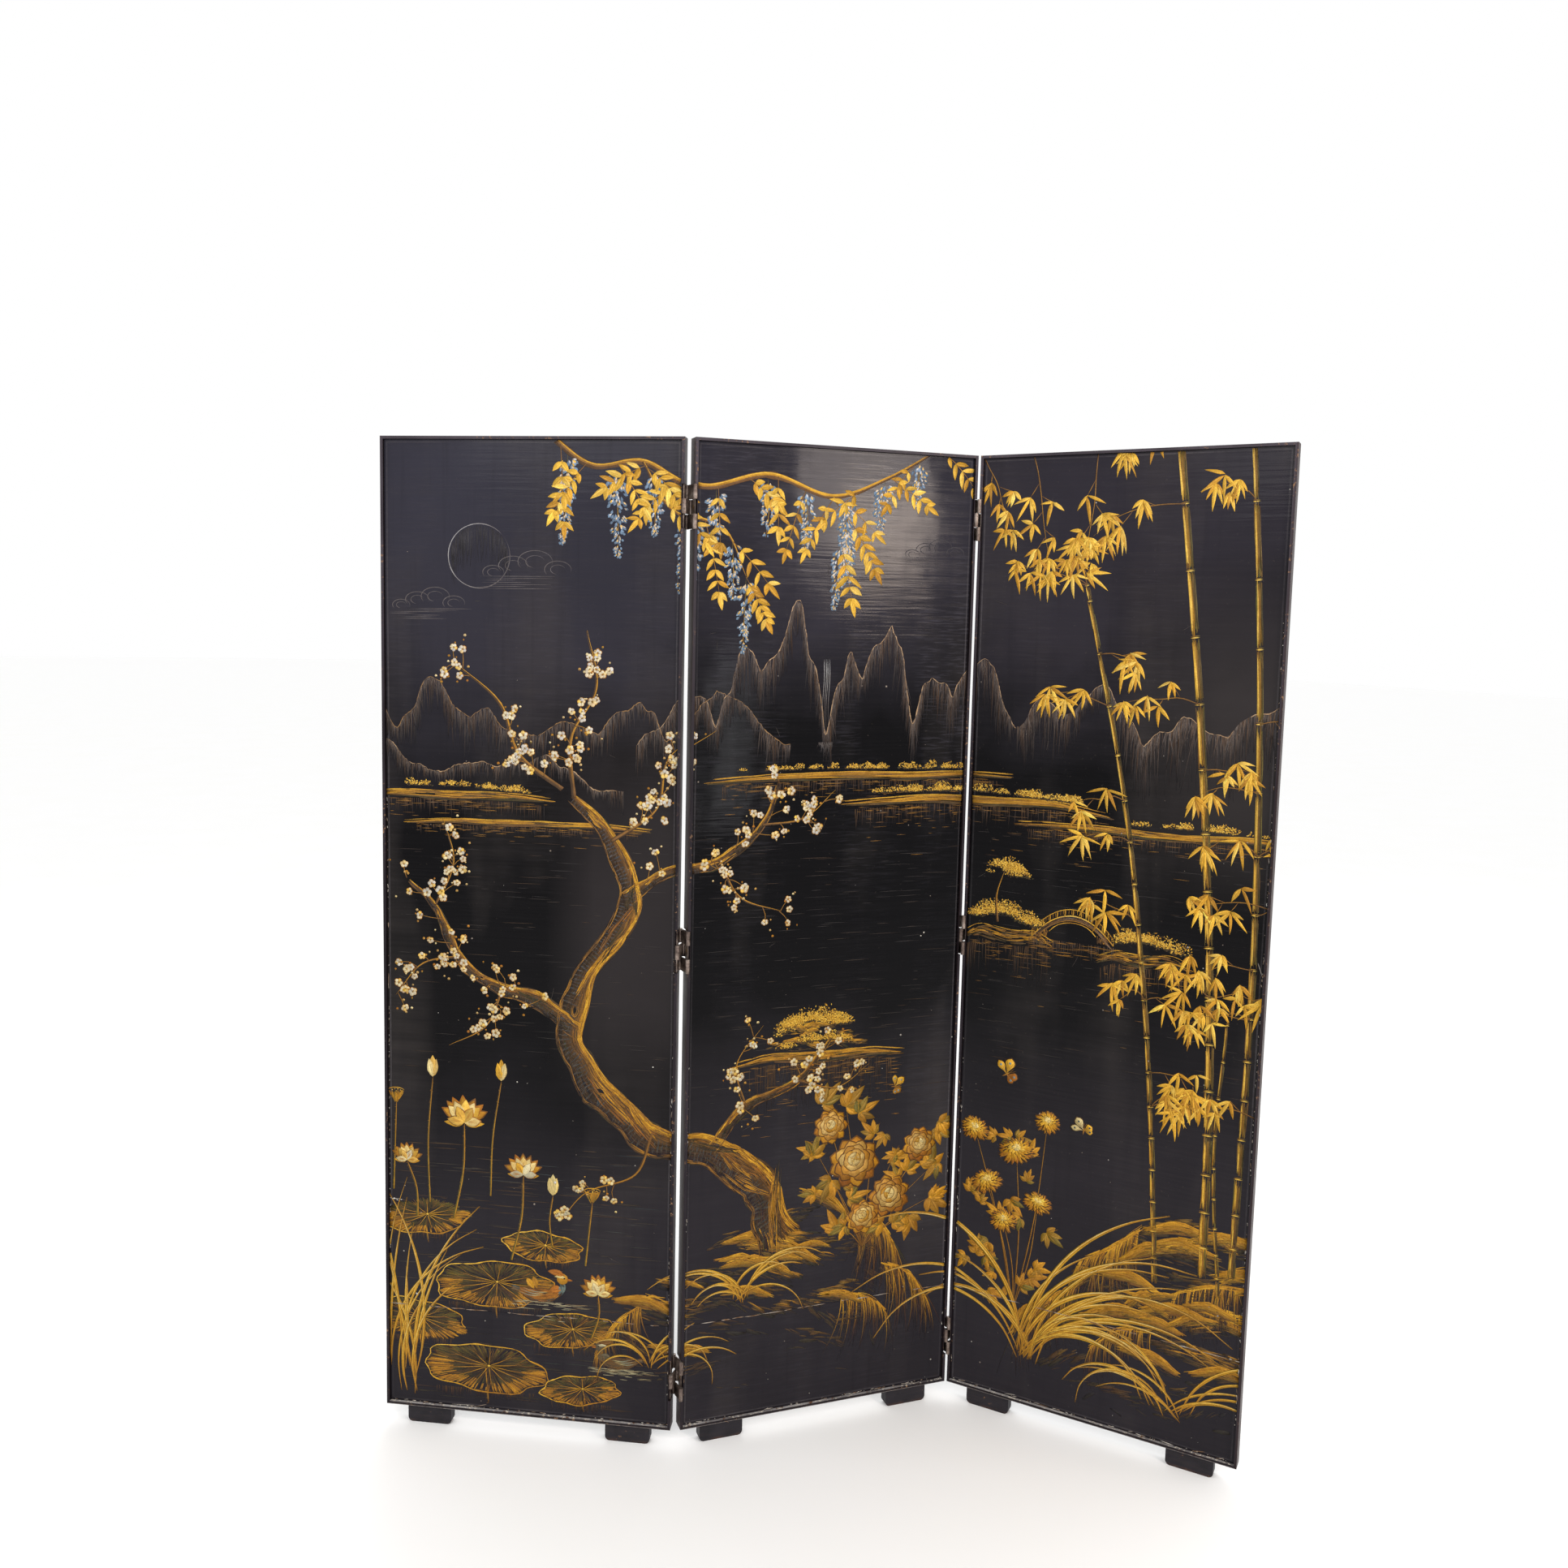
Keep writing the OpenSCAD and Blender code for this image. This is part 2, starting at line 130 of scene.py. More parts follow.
class Nodes:
    def __init__(self, name):
        self.mat = bpy.data.materials.new(name)
        self.mat.use_nodes = True
        self.t = self.mat.node_tree
        self.b = self.t.nodes["Principled BSDF"]

    def add(self, kind, **kw):
        n = self.t.nodes.new(kind)
        for k, v in kw.items():
            if k == "operation":
                n.operation = v
            elif k.startswith("in_"):
                n.inputs[k[3:]].default_value = v
            else:
                setattr(n, k, v)
        return n

    def link(self, a, b):
        self.t.links.new(a, b)

    def coords(self, angle=0.0, scale=(1, 1, 1)):
        tc = self.add("ShaderNodeTexCoord")
        turn = self.add("ShaderNodeMapping")
        turn.inputs["Rotation"].default_value = (0, 0, -math.radians(angle))
        self.link(tc.outputs["Object"], turn.inputs["Vector"])
        if tuple(scale) == (1, 1, 1):
            return turn.outputs["Vector"]
        s = self.add("ShaderNodeMapping")
        s.inputs["Scale"].default_value = scale
        self.link(turn.outputs["Vector"], s.inputs["Vector"])
        return s.outputs["Vector"]

    def noise(self, vec, scale=5.0, detail=4.0, rough=0.55, distortion=0.0):
        n = self.add("ShaderNodeTexNoise")
        n.inputs["Scale"].default_value = scale
        n.inputs["Detail"].default_value = detail
        n.inputs["Roughness"].default_value = rough
        n.inputs["Distortion"].default_value = distortion
        self.link(vec, n.inputs["Vector"])
        return n.outputs["Fac"]

    def ramp(self, fac, stops):
        n = self.add("ShaderNodeValToRGB")
        e = n.color_ramp.elements
        while len(e) > 1:
            e.remove(e[-1])
        e[0].position = stops[0][0]
        e[0].color = (*stops[0][1], 1)
        for p, c in stops[1:]:
            k = e.new(p)
            k.color = (*c, 1)
        self.link(fac, n.inputs["Fac"])
        return n.outputs["Color"]

    def span(self, fac, lo, hi, a=0.0, b=1.0):
        n = self.add("ShaderNodeMapRange")
        for k, v in zip(("From Min", "From Max", "To Min", "To Max"), (lo, hi, a, b)):
            n.inputs[k].default_value = v
        self.link(fac, n.inputs["Value"])
        return n.outputs["Result"]

    def math(self, op, a, b=None):
        n = self.add("ShaderNodeMath", operation=op)
        for i, v in enumerate((a, b)):
            if v is None:
                continue
            if isinstance(v, (int, float)):
                n.inputs[i].default_value = v
            else:
                self.link(v, n.inputs[i])
        return n.outputs[0]

    def mix(self, fac, a, b, mode="MIX"):
        n = self.add("ShaderNodeMix", data_type="RGBA", blend_type=mode)
        n.clamp_factor = True
        for v, i in ((fac, 0), (a, 6), (b, 7)):
            if isinstance(v, (int, float)):
                n.inputs[i].default_value = v
            elif isinstance(v, tuple):
                n.inputs[i].default_value = (*v, 1)
            else:
                self.link(v, n.inputs[i])
        return n.outputs[2]

    def bump(self, height, strength=0.2, distance=0.001, under=None):
        n = self.add("ShaderNodeBump")
        n.inputs["Strength"].default_value = strength
        n.inputs["Distance"].default_value = distance
        self.link(height, n.inputs["Height"])
        if under is not None:
            self.link(under, n.inputs["Normal"])
        return n.outputs["Normal"]

    def set(self, **kw):
        for k, v in kw.items():
            self.b.inputs[k.replace("_", " ")].default_value = v


def sep_z(n, vec):
    s = n.add("ShaderNodeSeparateXYZ")
    n.link(vec, s.inputs[0])
    return s.outputs


def local(n, panel):
    """coordinates in the panel's own frame (m): x from its middle, y from its mid plane, z from its base"""
    p = PANELS[panel]
    q = rot2(-p["angle"], (p["at"][0] - MID[0], p["at"][1] - MID[1]))
    m = n.add("ShaderNodeMapping")
    m.inputs["Location"].default_value = (-(q[0] + p["shift"][0]) / 1000, -(q[1] + p["shift"][1]) / 1000, -FOOT / 1000)
    n.link(n.coords(p["angle"]), m.inputs["Vector"])
    return m.outputs["Vector"]


def lacquer(name, panel, plain=False):
    """old black lacquer: darkest at mid height and greyer above and below, a painted reflection of the surroundings,
    bluest on the left panel;
    laid on with a wide brush in level strokes, with painted shade where it meets the edge strips"""
    n = Nodes(name)
    angle = PANELS[panel]["angle"]
    c = n.coords(angle)
    z = sep_z(n, c)[2]
    cloud = n.noise(c, 2.3, 4, 0.55, 0.4)
    patch = n.noise(n.coords(angle, (7, 7, 1.7)), 1.0, 3, 0.5, 0.2)
    streak = n.noise(n.coords(angle, (4.5, 4.5, 230)), 1.0, 5, 0.62)
    broad = n.noise(n.coords(angle, (2.2, 2.2, 46)), 1.0, 4, 0.6)
    brush = n.noise(n.coords(angle, (9, 9, 190)), 1.0, 1.6, 0.55, 0.3)
    down = n.noise(n.coords(angle, (70, 70, 3)), 1.0, 3, 0.55)
    dust_and_painted_light = n.noise(c, 150.0, 3, 0.7)
    # painted reflection: the lacquer is greyed above and below its middle (the bloom mask), paler towards the top
    zz = n.math("ADD", z, n.span(cloud, 0.3, 0.7, -0.13, 0.13))
    up, low = {"left_panel": (1.20, 0.76), "centre_panel": (1.33, 0.84), "right_panel": (1.28, 0.84)}[panel]
    bloom = n.math("ADD", n.span(zz, up, up + 0.30), n.span(zz, low, low - 0.34))
    bloom = n.math("MULTIPLY", bloom, n.span(cloud, 0.25, 0.75, 0.66, 1.10))
    # the top colour of the painted reflection, bluest on the left panel
    painted_reflection_top = {"left_panel": srgb(46, 45, 55), "centre_panel": srgb(42, 40, 49), "right_panel": srgb(41, 38, 46)}[panel]
    col = n.mix(bloom, srgb(5, 4, 6), n.mix(n.span(z, 1.1, 1.7), srgb(37, 34, 39), painted_reflection_top))
    grey = n.math("MULTIPLY", n.span(patch, 0.50, 0.72), n.span(broad, 0.3, 0.7, 0.4, 1.0))
    col = n.mix(n.math("MULTIPLY", grey, 0.42), col, srgb(62, 57, 55))
    # level brush streaks, stronger where the painted reflection greys the lacquer
    col = n.mix(n.math("MULTIPLY", n.span(streak, 0.42, 0.78, 0.0, 0.30), n.math("MULTIPLY", n.span(bloom, 0.0, 0.6, 0.3, 1.0), n.span(patch, 0.36, 0.58, 0.35, 1.0))), col, srgb(50, 46, 48))
    scuff = n.noise(n.coords(angle, (24, 24, 300)), 1.0, 3, 0.6, 0.4)
    worn = {"left_panel": 0.12, "centre_panel": 0.46, "right_panel": 0.10}[panel]
    col = n.mix(n.math("MULTIPLY", n.span(scuff, 0.50, 0.72, 0.0, worn), n.math("MULTIPLY", n.span(patch, 0.42, 0.58), n.span(z, 1.0, 1.5, 0.25, 1.0))), col, srgb(76, 73, 82))
    col = n.mix(n.span(down, 0.55, 0.85, 0.0, 0.22), col, srgb(10, 9, 11))
    col = n.mix(n.span(dust_and_painted_light, 0.66, 0.80, 0.0, 0.20), col, srgb(110, 100, 90))
    # the board's rim: painted shade in the corner against the edge strips, then a thin dusty line left by the brush
    p = sep_z(n, local(n, panel))
    if panel != "centre_panel" and not plain:  # a dull place beside the right edge
        x0, x1, z0, z1, z2, z3, tone = {"right_panel": (0.02, 0.17, 1.02, 1.22, 1.40, 1.66, srgb(50, 46, 46)), "left_panel": (0.03, 0.12, 0.62, 0.84, 1.16, 1.42, srgb(41, 37, 38))}[panel]
        dull = n.math("MULTIPLY", n.span(p[0], x0, x1), n.math("MULTIPLY", n.span(z, z0, z1), n.span(z, z3, z2)))
        col = n.mix(n.math("MULTIPLY", dull, n.span(cloud, 0.25, 0.7, 0.45, 0.95)), col, tone)
    side = n.math("SUBTRACT", W / 2000, n.math("ABSOLUTE", p[0]))
    ends = n.math("MINIMUM", n.math("SUBTRACT", H / 1000, p[2]), p[2])
    rim = n.math("MINIMUM", side, ends)
    rim = n.math("ADD", rim, n.span(cloud, 0.3, 0.7, -0.0006, 0.0006))
    line = n.math("MULTIPLY", n.span(n.math("ABSOLUTE", n.math("SUBTRACT", rim, 0.0100)), 0.0006, 0.0017, 1.0, 0.0), n.span(patch, 0.36, 0.62, 0.15, 0.75))
    col = n.mix(n.math("MULTIPLY", line, n.span(dust_and_painted_light, 0.3, 0.6, 0.35, 0.8)), col, srgb(82, 78, 81))
    # painted shade: darker in the recess beside the edge strips
    col = n.mix(n.span(rim, 0.0056, 0.0078, 0.42, 0.0), col, srgb(7, 5, 6))
    n.link(col, n.b.inputs["Base Color"])
    fine = 0.050 if panel == "centre_panel" else 0.070
    r = n.math("ADD", n.span(cloud, 0.3, 0.75, fine, fine + 0.045), n.span(streak, 0.3, 0.7, -0.02, 0.06))
    r = n.math("ADD", r, n.span(down, 0.3, 0.7, -0.01, 0.03))
    n.link(r, n.b.inputs["Roughness"])
    b1 = n.bump(n.math("MULTIPLY", brush, n.span(patch, 0.34, 0.56, 0.50, 1.15)), 0.24, 0.0006)
    b2 = n.bump(broad, 0.17, 0.0015, b1)
    wav = n.noise(c, 9.0, 2, 0.5)
    b3 = n.bump(wav, 0.22, 0.004, b2)
    n.link(b3, n.b.inputs["Normal"])
    n.set(Specular_IOR_Level=0.092, Coat_Weight=0.0)
    return n.mat


def edge_lacquer(name, panel, warm=0.0):
    """lacquer on the edge strips: the narrow front face grey, partly rubbed and partly painted light that pales towards
    the top, reddish brown on the sides, and the step along the bottom painted pale grey as painted light from above,
    with chips"""
    n = Nodes(name)
    angle = PANELS[panel]["angle"]
    c = n.coords(angle)
    cloud = n.noise(c, 9.0, 4, 0.6)
    grain = n.noise(n.coords(angle, (90, 90, 4)), 1.0, 4, 0.6)
    chip = n.noise(c, 190.0, 3, 0.6)
    patch = n.noise(c, 6.5, 2, 0.5)
    p = sep_z(n, local(n, panel))
    col = n.ramp(cloud, [(0.3, srgb(15, 11, 14)), (0.6, srgb(25, 19, 22)), (0.8, srgb(38, 27, 27))])
    col = n.mix(n.span(grain, 0.45, 0.8, 0, 0.5), col, srgb(44, 33, 33))
    # outer sides of the strips
    side = n.math("SUBTRACT", W / 2000, n.math("ABSOLUTE", p[0]))
    outer = n.math("MULTIPLY", n.span(side, 0.0016, 0.0006), n.span(p[1], -0.0132, -0.0122))
    brown = n.mix(cloud, srgb(38, 26, 27), srgb(64, 46, 44))
    brown = n.mix(n.span(grain, 0.4, 0.8, 0, 0.6), brown, srgb(28, 20, 21))
    col = n.mix(n.math("MULTIPLY", outer, 0.75), col, brown)
    # narrow front face: grey, partly rubbed and partly painted light, painted paler towards the top
    face = n.span(p[1], -0.0128, -0.0136)
    grey = n.mix(n.span(grain, 0.3, 0.7), srgb(24, 20, 25), srgb(50, 44, 50))
    grey = n.mix(n.math("MULTIPLY", n.span(p[2], 1.20, 1.78, 0.0, 0.75), n.span(cloud, 0.3, 0.65, 0.5, 1.0)), grey, srgb(82, 75, 83))
    face = n.math("MULTIPLY", face, n.span(p[2], 0.006, 0.004, 1.0, 0.3))
    col = n.mix(n.math("MULTIPLY", face, n.span(patch, 0.3, 0.6, 0.55, 0.95)), col, grey)
    sill = n.math("MULTIPLY", n.span(p[2], 0.0013, 0.0007), n.span(p[1], -0.0120, -0.0130))
    col = n.mix(n.math("MULTIPLY", sill, n.span(chip, 0.35, 0.6, 0.4, 0.95)), col, srgb(122, 115, 112))
    if warm:
        col = n.mix(n.math("MULTIPLY", n.span(cloud, 0.25, 0.7, 0.2 * warm, 0.8 * warm), n.span(side, 0.0042, 0.0018)), col, srgb(52, 37, 36))
    rub = n.math("MULTIPLY", n.span(chip, 0.60, 0.66), n.span(patch, 0.50 - 0.06 * warm, 0.60))
    rub = n.math("MULTIPLY", rub, n.span(n.math("ABSOLUTE", p[1]), 0.0105, 0.0135, 0.10, 1.0))  # worn along the arrises
    col = n.mix(rub, col, srgb(128, 98, 72))
    # painted light: the upward-facing step along the bottom is painted pale grey as if lit from above, with pale chips
    # and brown flecks on it
    geo = n.add("ShaderNodeNewGeometry")
    step = n.math("MULTIPLY", n.span(sep_z(n, geo.outputs["Normal"])[2], 0.35, 0.8), n.span(p[2], 0.020, 0.010))
    along_it = n.noise(c, 16.0, 4, 0.65)
    dust_and_painted_light = n.mix(n.span(along_it, 0.35, 0.7), srgb(84, 79, 80), srgb(176, 172, 171))
    dust_and_painted_light = n.mix(n.span(chip, 0.57, 0.62), dust_and_painted_light, srgb(212, 203, 188))
    dust_and_painted_light = n.mix(n.span(n.noise(c, 75.0, 3, 0.6), 0.60, 0.66), dust_and_painted_light, srgb(104, 72, 50))
    col = n.mix(step, col, dust_and_painted_light)
    n.link(col, n.b.inputs["Base Color"])
    n.link(n.span(cloud, 0.3, 0.75, 0.36, 0.52), n.b.inputs["Roughness"])
    n.link(n.bump(chip, 0.12, 0.0006, n.bump(grain, 0.15, 0.0006)), n.b.inputs["Normal"])
    n.set(Specular_IOR_Level=0.12, Coat_Weight=0.0)
    return n.mat


def foot_paint():
    n = Nodes("foot_black")
    c = n.coords()
    grain = n.noise(n.coords(0, (12, 12, 120)), 1.0, 4, 0.6)
    cloud = n.noise(c, 30.0, 4, 0.6)
    nick = n.noise(c, 120.0, 3, 0.6)
    z = sep_z(n, c)[2]
    col = n.ramp(cloud, [(0.3, srgb(30, 28, 32)), (0.7, srgb(43, 40, 45))])
    col = n.mix(n.span(grain, 0.5, 0.8, 0, 0.6), col, srgb(52, 45, 45))
    low = n.span(z, 0.0, 0.006, 1.0, 0.0)
    worn = n.math("MULTIPLY", low, n.span(cloud, 0.42, 0.62))
    col = n.mix(worn, col, srgb(72, 50, 41))
    col = n.mix(n.span(nick, 0.68, 0.72, 0, 0.7), col, srgb(110, 82, 60))
    n.link(col, n.b.inputs["Base Color"])
    n.link(n.span(cloud, 0.3, 0.7, 0.40, 0.60), n.b.inputs["Roughness"])
    n.link(n.bump(grain, 0.25, 0.0006), n.b.inputs["Normal"])
    n.set(Specular_IOR_Level=0.16)
    return n.mat


def metal(name, dark, mid, light, rough=(0.32, 0.55), tarnish=38.0):
    n = Nodes(name)
    c = n.coords()
    a = n.noise(c, tarnish, 5, 0.65)
    b = n.noise(c, 260.0, 4, 0.6)
    col = n.ramp(a, [(0.32, dark), (0.5, mid), (0.68, light)])
    col = n.mix(n.span(b, 0.52, 0.7, 0, 0.7), col, dark)
    n.link(col, n.b.inputs["Base Color"])
    n.link(n.span(a, 0.3, 0.7, *rough), n.b.inputs["Roughness"])
    n.link(n.bump(b, 0.2, 0.0002), n.b.inputs["Normal"])
    n.set(Metallic=0.85)
    return n.mat


def core_wood():
    n = Nodes("core_wood")
    grain = n.noise(n.coords(0, (60, 60, 3)), 1.0, 5, 0.6, 0.4)
    col = n.ramp(grain, [(0.3, srgb(150, 112, 72)), (0.55, srgb(186, 146, 98)), (0.75, srgb(206, 170, 122))])
    n.link(col, n.b.inputs["Base Color"])
    n.link(n.span(grain, 0.3, 0.7, 0.55, 0.75), n.b.inputs["Roughness"])
    n.link(n.bump(grain, 0.2, 0.0004), n.b.inputs["Normal"])
    return n.mat


def paint_material(name, rough=0.42):
    n = Nodes(name)
    at = n.add("ShaderNodeAttribute", attribute_name="Col")
    c = n.coords()
    fine = n.noise(c, 420.0, 4, 0.65)
    mid = n.noise(c, 60.0, 4, 0.6)
    col = n.mix(n.span(fine, 0.42, 0.72, 0.0, 0.34), at.outputs["Color"], srgb(96, 66, 30), "MULTIPLY")
    col = n.mix(n.span(mid, 0.35, 0.7, 0.0, 0.30), col, srgb(150, 110, 70), "MULTIPLY")
    n.link(col, n.b.inputs["Base Color"])
    n.link(n.span(fine, 0.3, 0.7, rough - 0.07, rough + 0.1), n.b.inputs["Roughness"])
    n.link(n.bump(fine, 0.35, 0.0003), n.b.inputs["Normal"])
    n.set(Metallic=0.10, Specular_IOR_Level=0.14)
    return n.mat


MATS = {
    "core": core_wood(),
    "foot": foot_paint(),
    "brass": metal("aged_brass", srgb(50, 41, 38), srgb(120, 105, 97), srgb(174, 160, 150), (0.38, 0.58)),
    "screw": metal("screw_brass", srgb(70, 52, 30), srgb(150, 118, 66), srgb(196, 160, 100)),
    "steel": metal("dull_steel", srgb(70, 68, 66), srgb(140, 137, 132), srgb(190, 186, 180)),
    "paint": paint_material("gold_paint"),
}
for p, q in PANELS.items():
    MATS[p + "_front"] = lacquer(p + "_lacquer_front", p)
    MATS[p + "_back"] = lacquer(p + "_lacquer_back", p, True)
    MATS[p + "_edge"] = edge_lacquer(p + "_lacquer_edge", p)
MATS["outer_edge"] = edge_lacquer("outer_lacquer_edge", "right_panel", 0.8)


def bevel(o, width, segments=2):
    b = o.modifiers.new("arris", "BEVEL")
    b.width = width
    b.segments = segments
    b.limit_method = "ANGLE"
    b.angle_limit = math.radians(40)
    b.harden_normals = False


for name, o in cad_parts.items():
    panel = next((p for p in PANELS if name.startswith(p)), None)
    if name == "right_panel_right_edge_strip":
        mat, w = MATS["outer_edge"], 0.0009
    elif "edge_strip" in name:
        mat, w = MATS[panel + "_edge"], 0.0009
    elif "front_board" in name:
        mat, w = MATS[panel + "_front"], 0.0
    elif "back_board" in name:
        mat, w = MATS[panel + "_back"], 0.0
    elif name.endswith("_foot"):
        mat, w = MATS["foot"], 0.0012
    elif "hinge_screws" in name:
        mat, w = MATS["screw"], 0.0
    elif "screws" in name or "pins" in name:
        mat, w = MATS["steel"], 0.0
    elif "leaves" in name or "straps" in name:
        mat, w = MATS["brass"], 0.00035
    else:
        mat, w = MATS["core"], 0.0
    o.data.materials.clear()
    o.data.materials.append(mat)
    if w:
        bevel(o, w)


# ---------------------------------------------------------------- floor and light
def new_mesh(name, verts, faces):
    me = bpy.data.meshes.new(name)
    me.from_pydata(verts, [], faces)
    o = bpy.data.objects.new(name, me)
    bpy.context.scene.collection.objects.link(o)
    return o


def floor():
    n = Nodes("floor_pale")
    c = n.coords()
    a = n.noise(c, 3.0, 3, 0.5)
    n.link(n.ramp(a, [(0.3, srgb(253, 253, 252)), (0.7, srgb(254, 254, 254))]), n.b.inputs["Base Color"])
    n.set(Roughness=0.8, Specular_IOR_Level=0.1)
    o = new_mesh("floor", [(-30, -20, 0), (30, -20, 0), (30, 45, 0), (-30, 45, 0)], [(0, 1, 2, 3)])
    o.data.materials.append(n.mat)


floor()


def area(name, at, look, size, power, colour=(1, 1, 1), size_y=None, shape="RECTANGLE"):
    l = bpy.data.lights.new(name, "AREA")
    l.shape = shape
    l.size = size
    l.size_y = size_y or size
    l.energy = power
    l.color = colour
    o = bpy.data.objects.new(name, l)
    o.location = at
    d = Vector(look) - Vector(at)
    o.rotation_euler = d.to_track_quat("-Z", "Y").to_euler()
    bpy.context.scene.collection.objects.link(o)
    return o


area("key", (-2.6, -3.4, 3.4), (0, 0, 0.9), 2.6, 62, (1.0, 0.98, 0.95))
area("soft_box", (1.36, -2.72, 2.074), (0.06, 0.07, 1.794), 0.50, 16.5, (1.0, 0.87, 0.78), 0.62)
area("soft_box_inner", (1.43, -2.70, 1.835), (0.13, 0.09, 1.555), 0.34, 9.0, (1.0, 0.81, 0.65), 0.42)
area("strip", (0.80, -2.72, 1.06), (-0.14, 0.07, 1.30), 0.16, 1.5, (0.98, 0.97, 1.0), 0.7)
area("fill", (3.2, -2.6, 2.2), (0, 0, 0.9), 2.2, 22, (0.95, 0.97, 1.0))
area("rear", (0.5, 3.0, 3.2), (0, 0, 0.9), 2.5, 34)

world = bpy.data.worlds.new("studio")
world.use_nodes = True
bg = world.node_tree.nodes["Background"]
bg.inputs["Color"].default_value = (1.0, 1.0, 1.0, 1)
bg.inputs["Strength"].default_value = 1.0
bpy.context.scene.world = world
bpy.context.scene.view_settings.view_transform = "Standard"

# ---------------------------------------------------------------- painting
# A stroke engine: every stroke is a thin closed slab of paint lying on a front board.
# Panel coordinates in mm: u to the right from the panel's left edge, v up from its base.
GOLD_HI = srgb(243, 203, 96)
GOLD = srgb(228, 178, 62)
GOLD_DEEP = srgb(206, 152, 46)
OCHRE = srgb(184, 132, 46)
AMBER = srgb(176, 112, 42)
BROWN = srgb(122, 88, 54)
UMBER = srgb(84, 64, 46)
OLIVE = srgb(112, 104, 52)
MOSS = srgb(66, 64, 42)
GREY = srgb(112, 104, 98)
MIST = srgb(74, 70, 70)
BLUE = srgb(128, 150, 166)
BLUE_DK = srgb(72, 88, 104)
CREAM = srgb(236, 220, 170)
PALE = srgb(206, 204, 196)
DARK = srgb(25, 24, 28)


def A(c):
    return np.asarray(c, float)


def lerp(a, b, t):
    return A(a) + (A(b) - A(a)) * t


def pick(rng, colours, m, jitter=0.10):
    """m colours between neighbours of the list, a little lighter or darker"""
    cs = np.array([A(c) for c in colours])
    x = rng.uniform(0, len(cs) - 1, m) if len(cs) > 1 else np.zeros(m)
    i = np.minimum(x.astype(int), max(len(cs) - 2, 0))
    f = (x - i)[:, None] if len(cs) > 1 else 0.0
    out = cs[i] + (cs[np.minimum(i + 1, len(cs) - 1)] - cs[i]) * f
    return np.clip(out * (1 + rng.normal(0, jitter, m))[:, None], 0, 1)


def spline(pts, n=64):
    """a smooth curve through the points, n places on it evenly by length"""
    p = np.asarray(pts, float)
    if len(p) == 2:
        t = np.linspace(0, 1, n)[:, None]
        return p[0] + (p[1] - p[0]) * t
    q = np.vstack([2 * p[0] - p[1], p, 2 * p[-1] - p[-2]])
    out = []
    for i in range(1, len(q) - 2):
        t = np.linspace(0, 1, 16, endpoint=False)[:, None]
        a, b, c, d = q[i - 1], q[i], q[i + 1], q[i + 2]
        out.append(0.5 * ((2 * b) + (-a + c) * t + (2 * a - 5 * b + 4 * c - d) * t**2 + (-a + 3 * b - 3 * c + d) * t**3))
    out = np.vstack(out + [p[-1:]])
    s = np.concatenate([[0], np.cumsum(np.hypot(*np.diff(out, axis=0).T))])
    x = np.linspace(0, s[-1], n)
    return np.stack([np.interp(x, s, out[:, 0]), np.interp(x, s, out[:, 1])], 1)


def normals(path):
    d = np.gradient(path, axis=-2)
    d /= np.maximum(np.linalg.norm(d, axis=-1, keepdims=True), 1e-9)
    return np.stack([-d[..., 1], d[..., 0]], -1)


_TEMPLATES = {}
STEPS = {}


def template(n):
    """the faces of one slab of n stations: underside, walls and ends, then its painted top"""
    if n not in _TEMPLATES:
        lt, rt_, lb, rb = (np.arange(n) + k * n for k in range(4))
        i, j = slice(0, n - 1), slice(1, n)
        under = np.stack([lb[i], lb[j], rb[j], rb[i]], 1)
        right = np.stack([rt_[j], rt_[i], rb[i], rb[j]], 1)
        left = np.stack([lt[i], lt[j], lb[j], lb[i]], 1)
        ends = np.array([[rt_[0], lt[0], lb[0], rb[0]], [lt[-1], rt_[-1], rb[-1], lb[-1]]])
        top = np.stack([lt[i], rt_[i], rt_[j], lt[j]], 1)
        _TEMPLATES[n] = np.vstack([under, right, left, ends, top])
    return _TEMPLATES[n]


U0, U1, V0, V1 = 5.6, 537.4, 5.6, 1788.4  # the part of the board between the edge strips


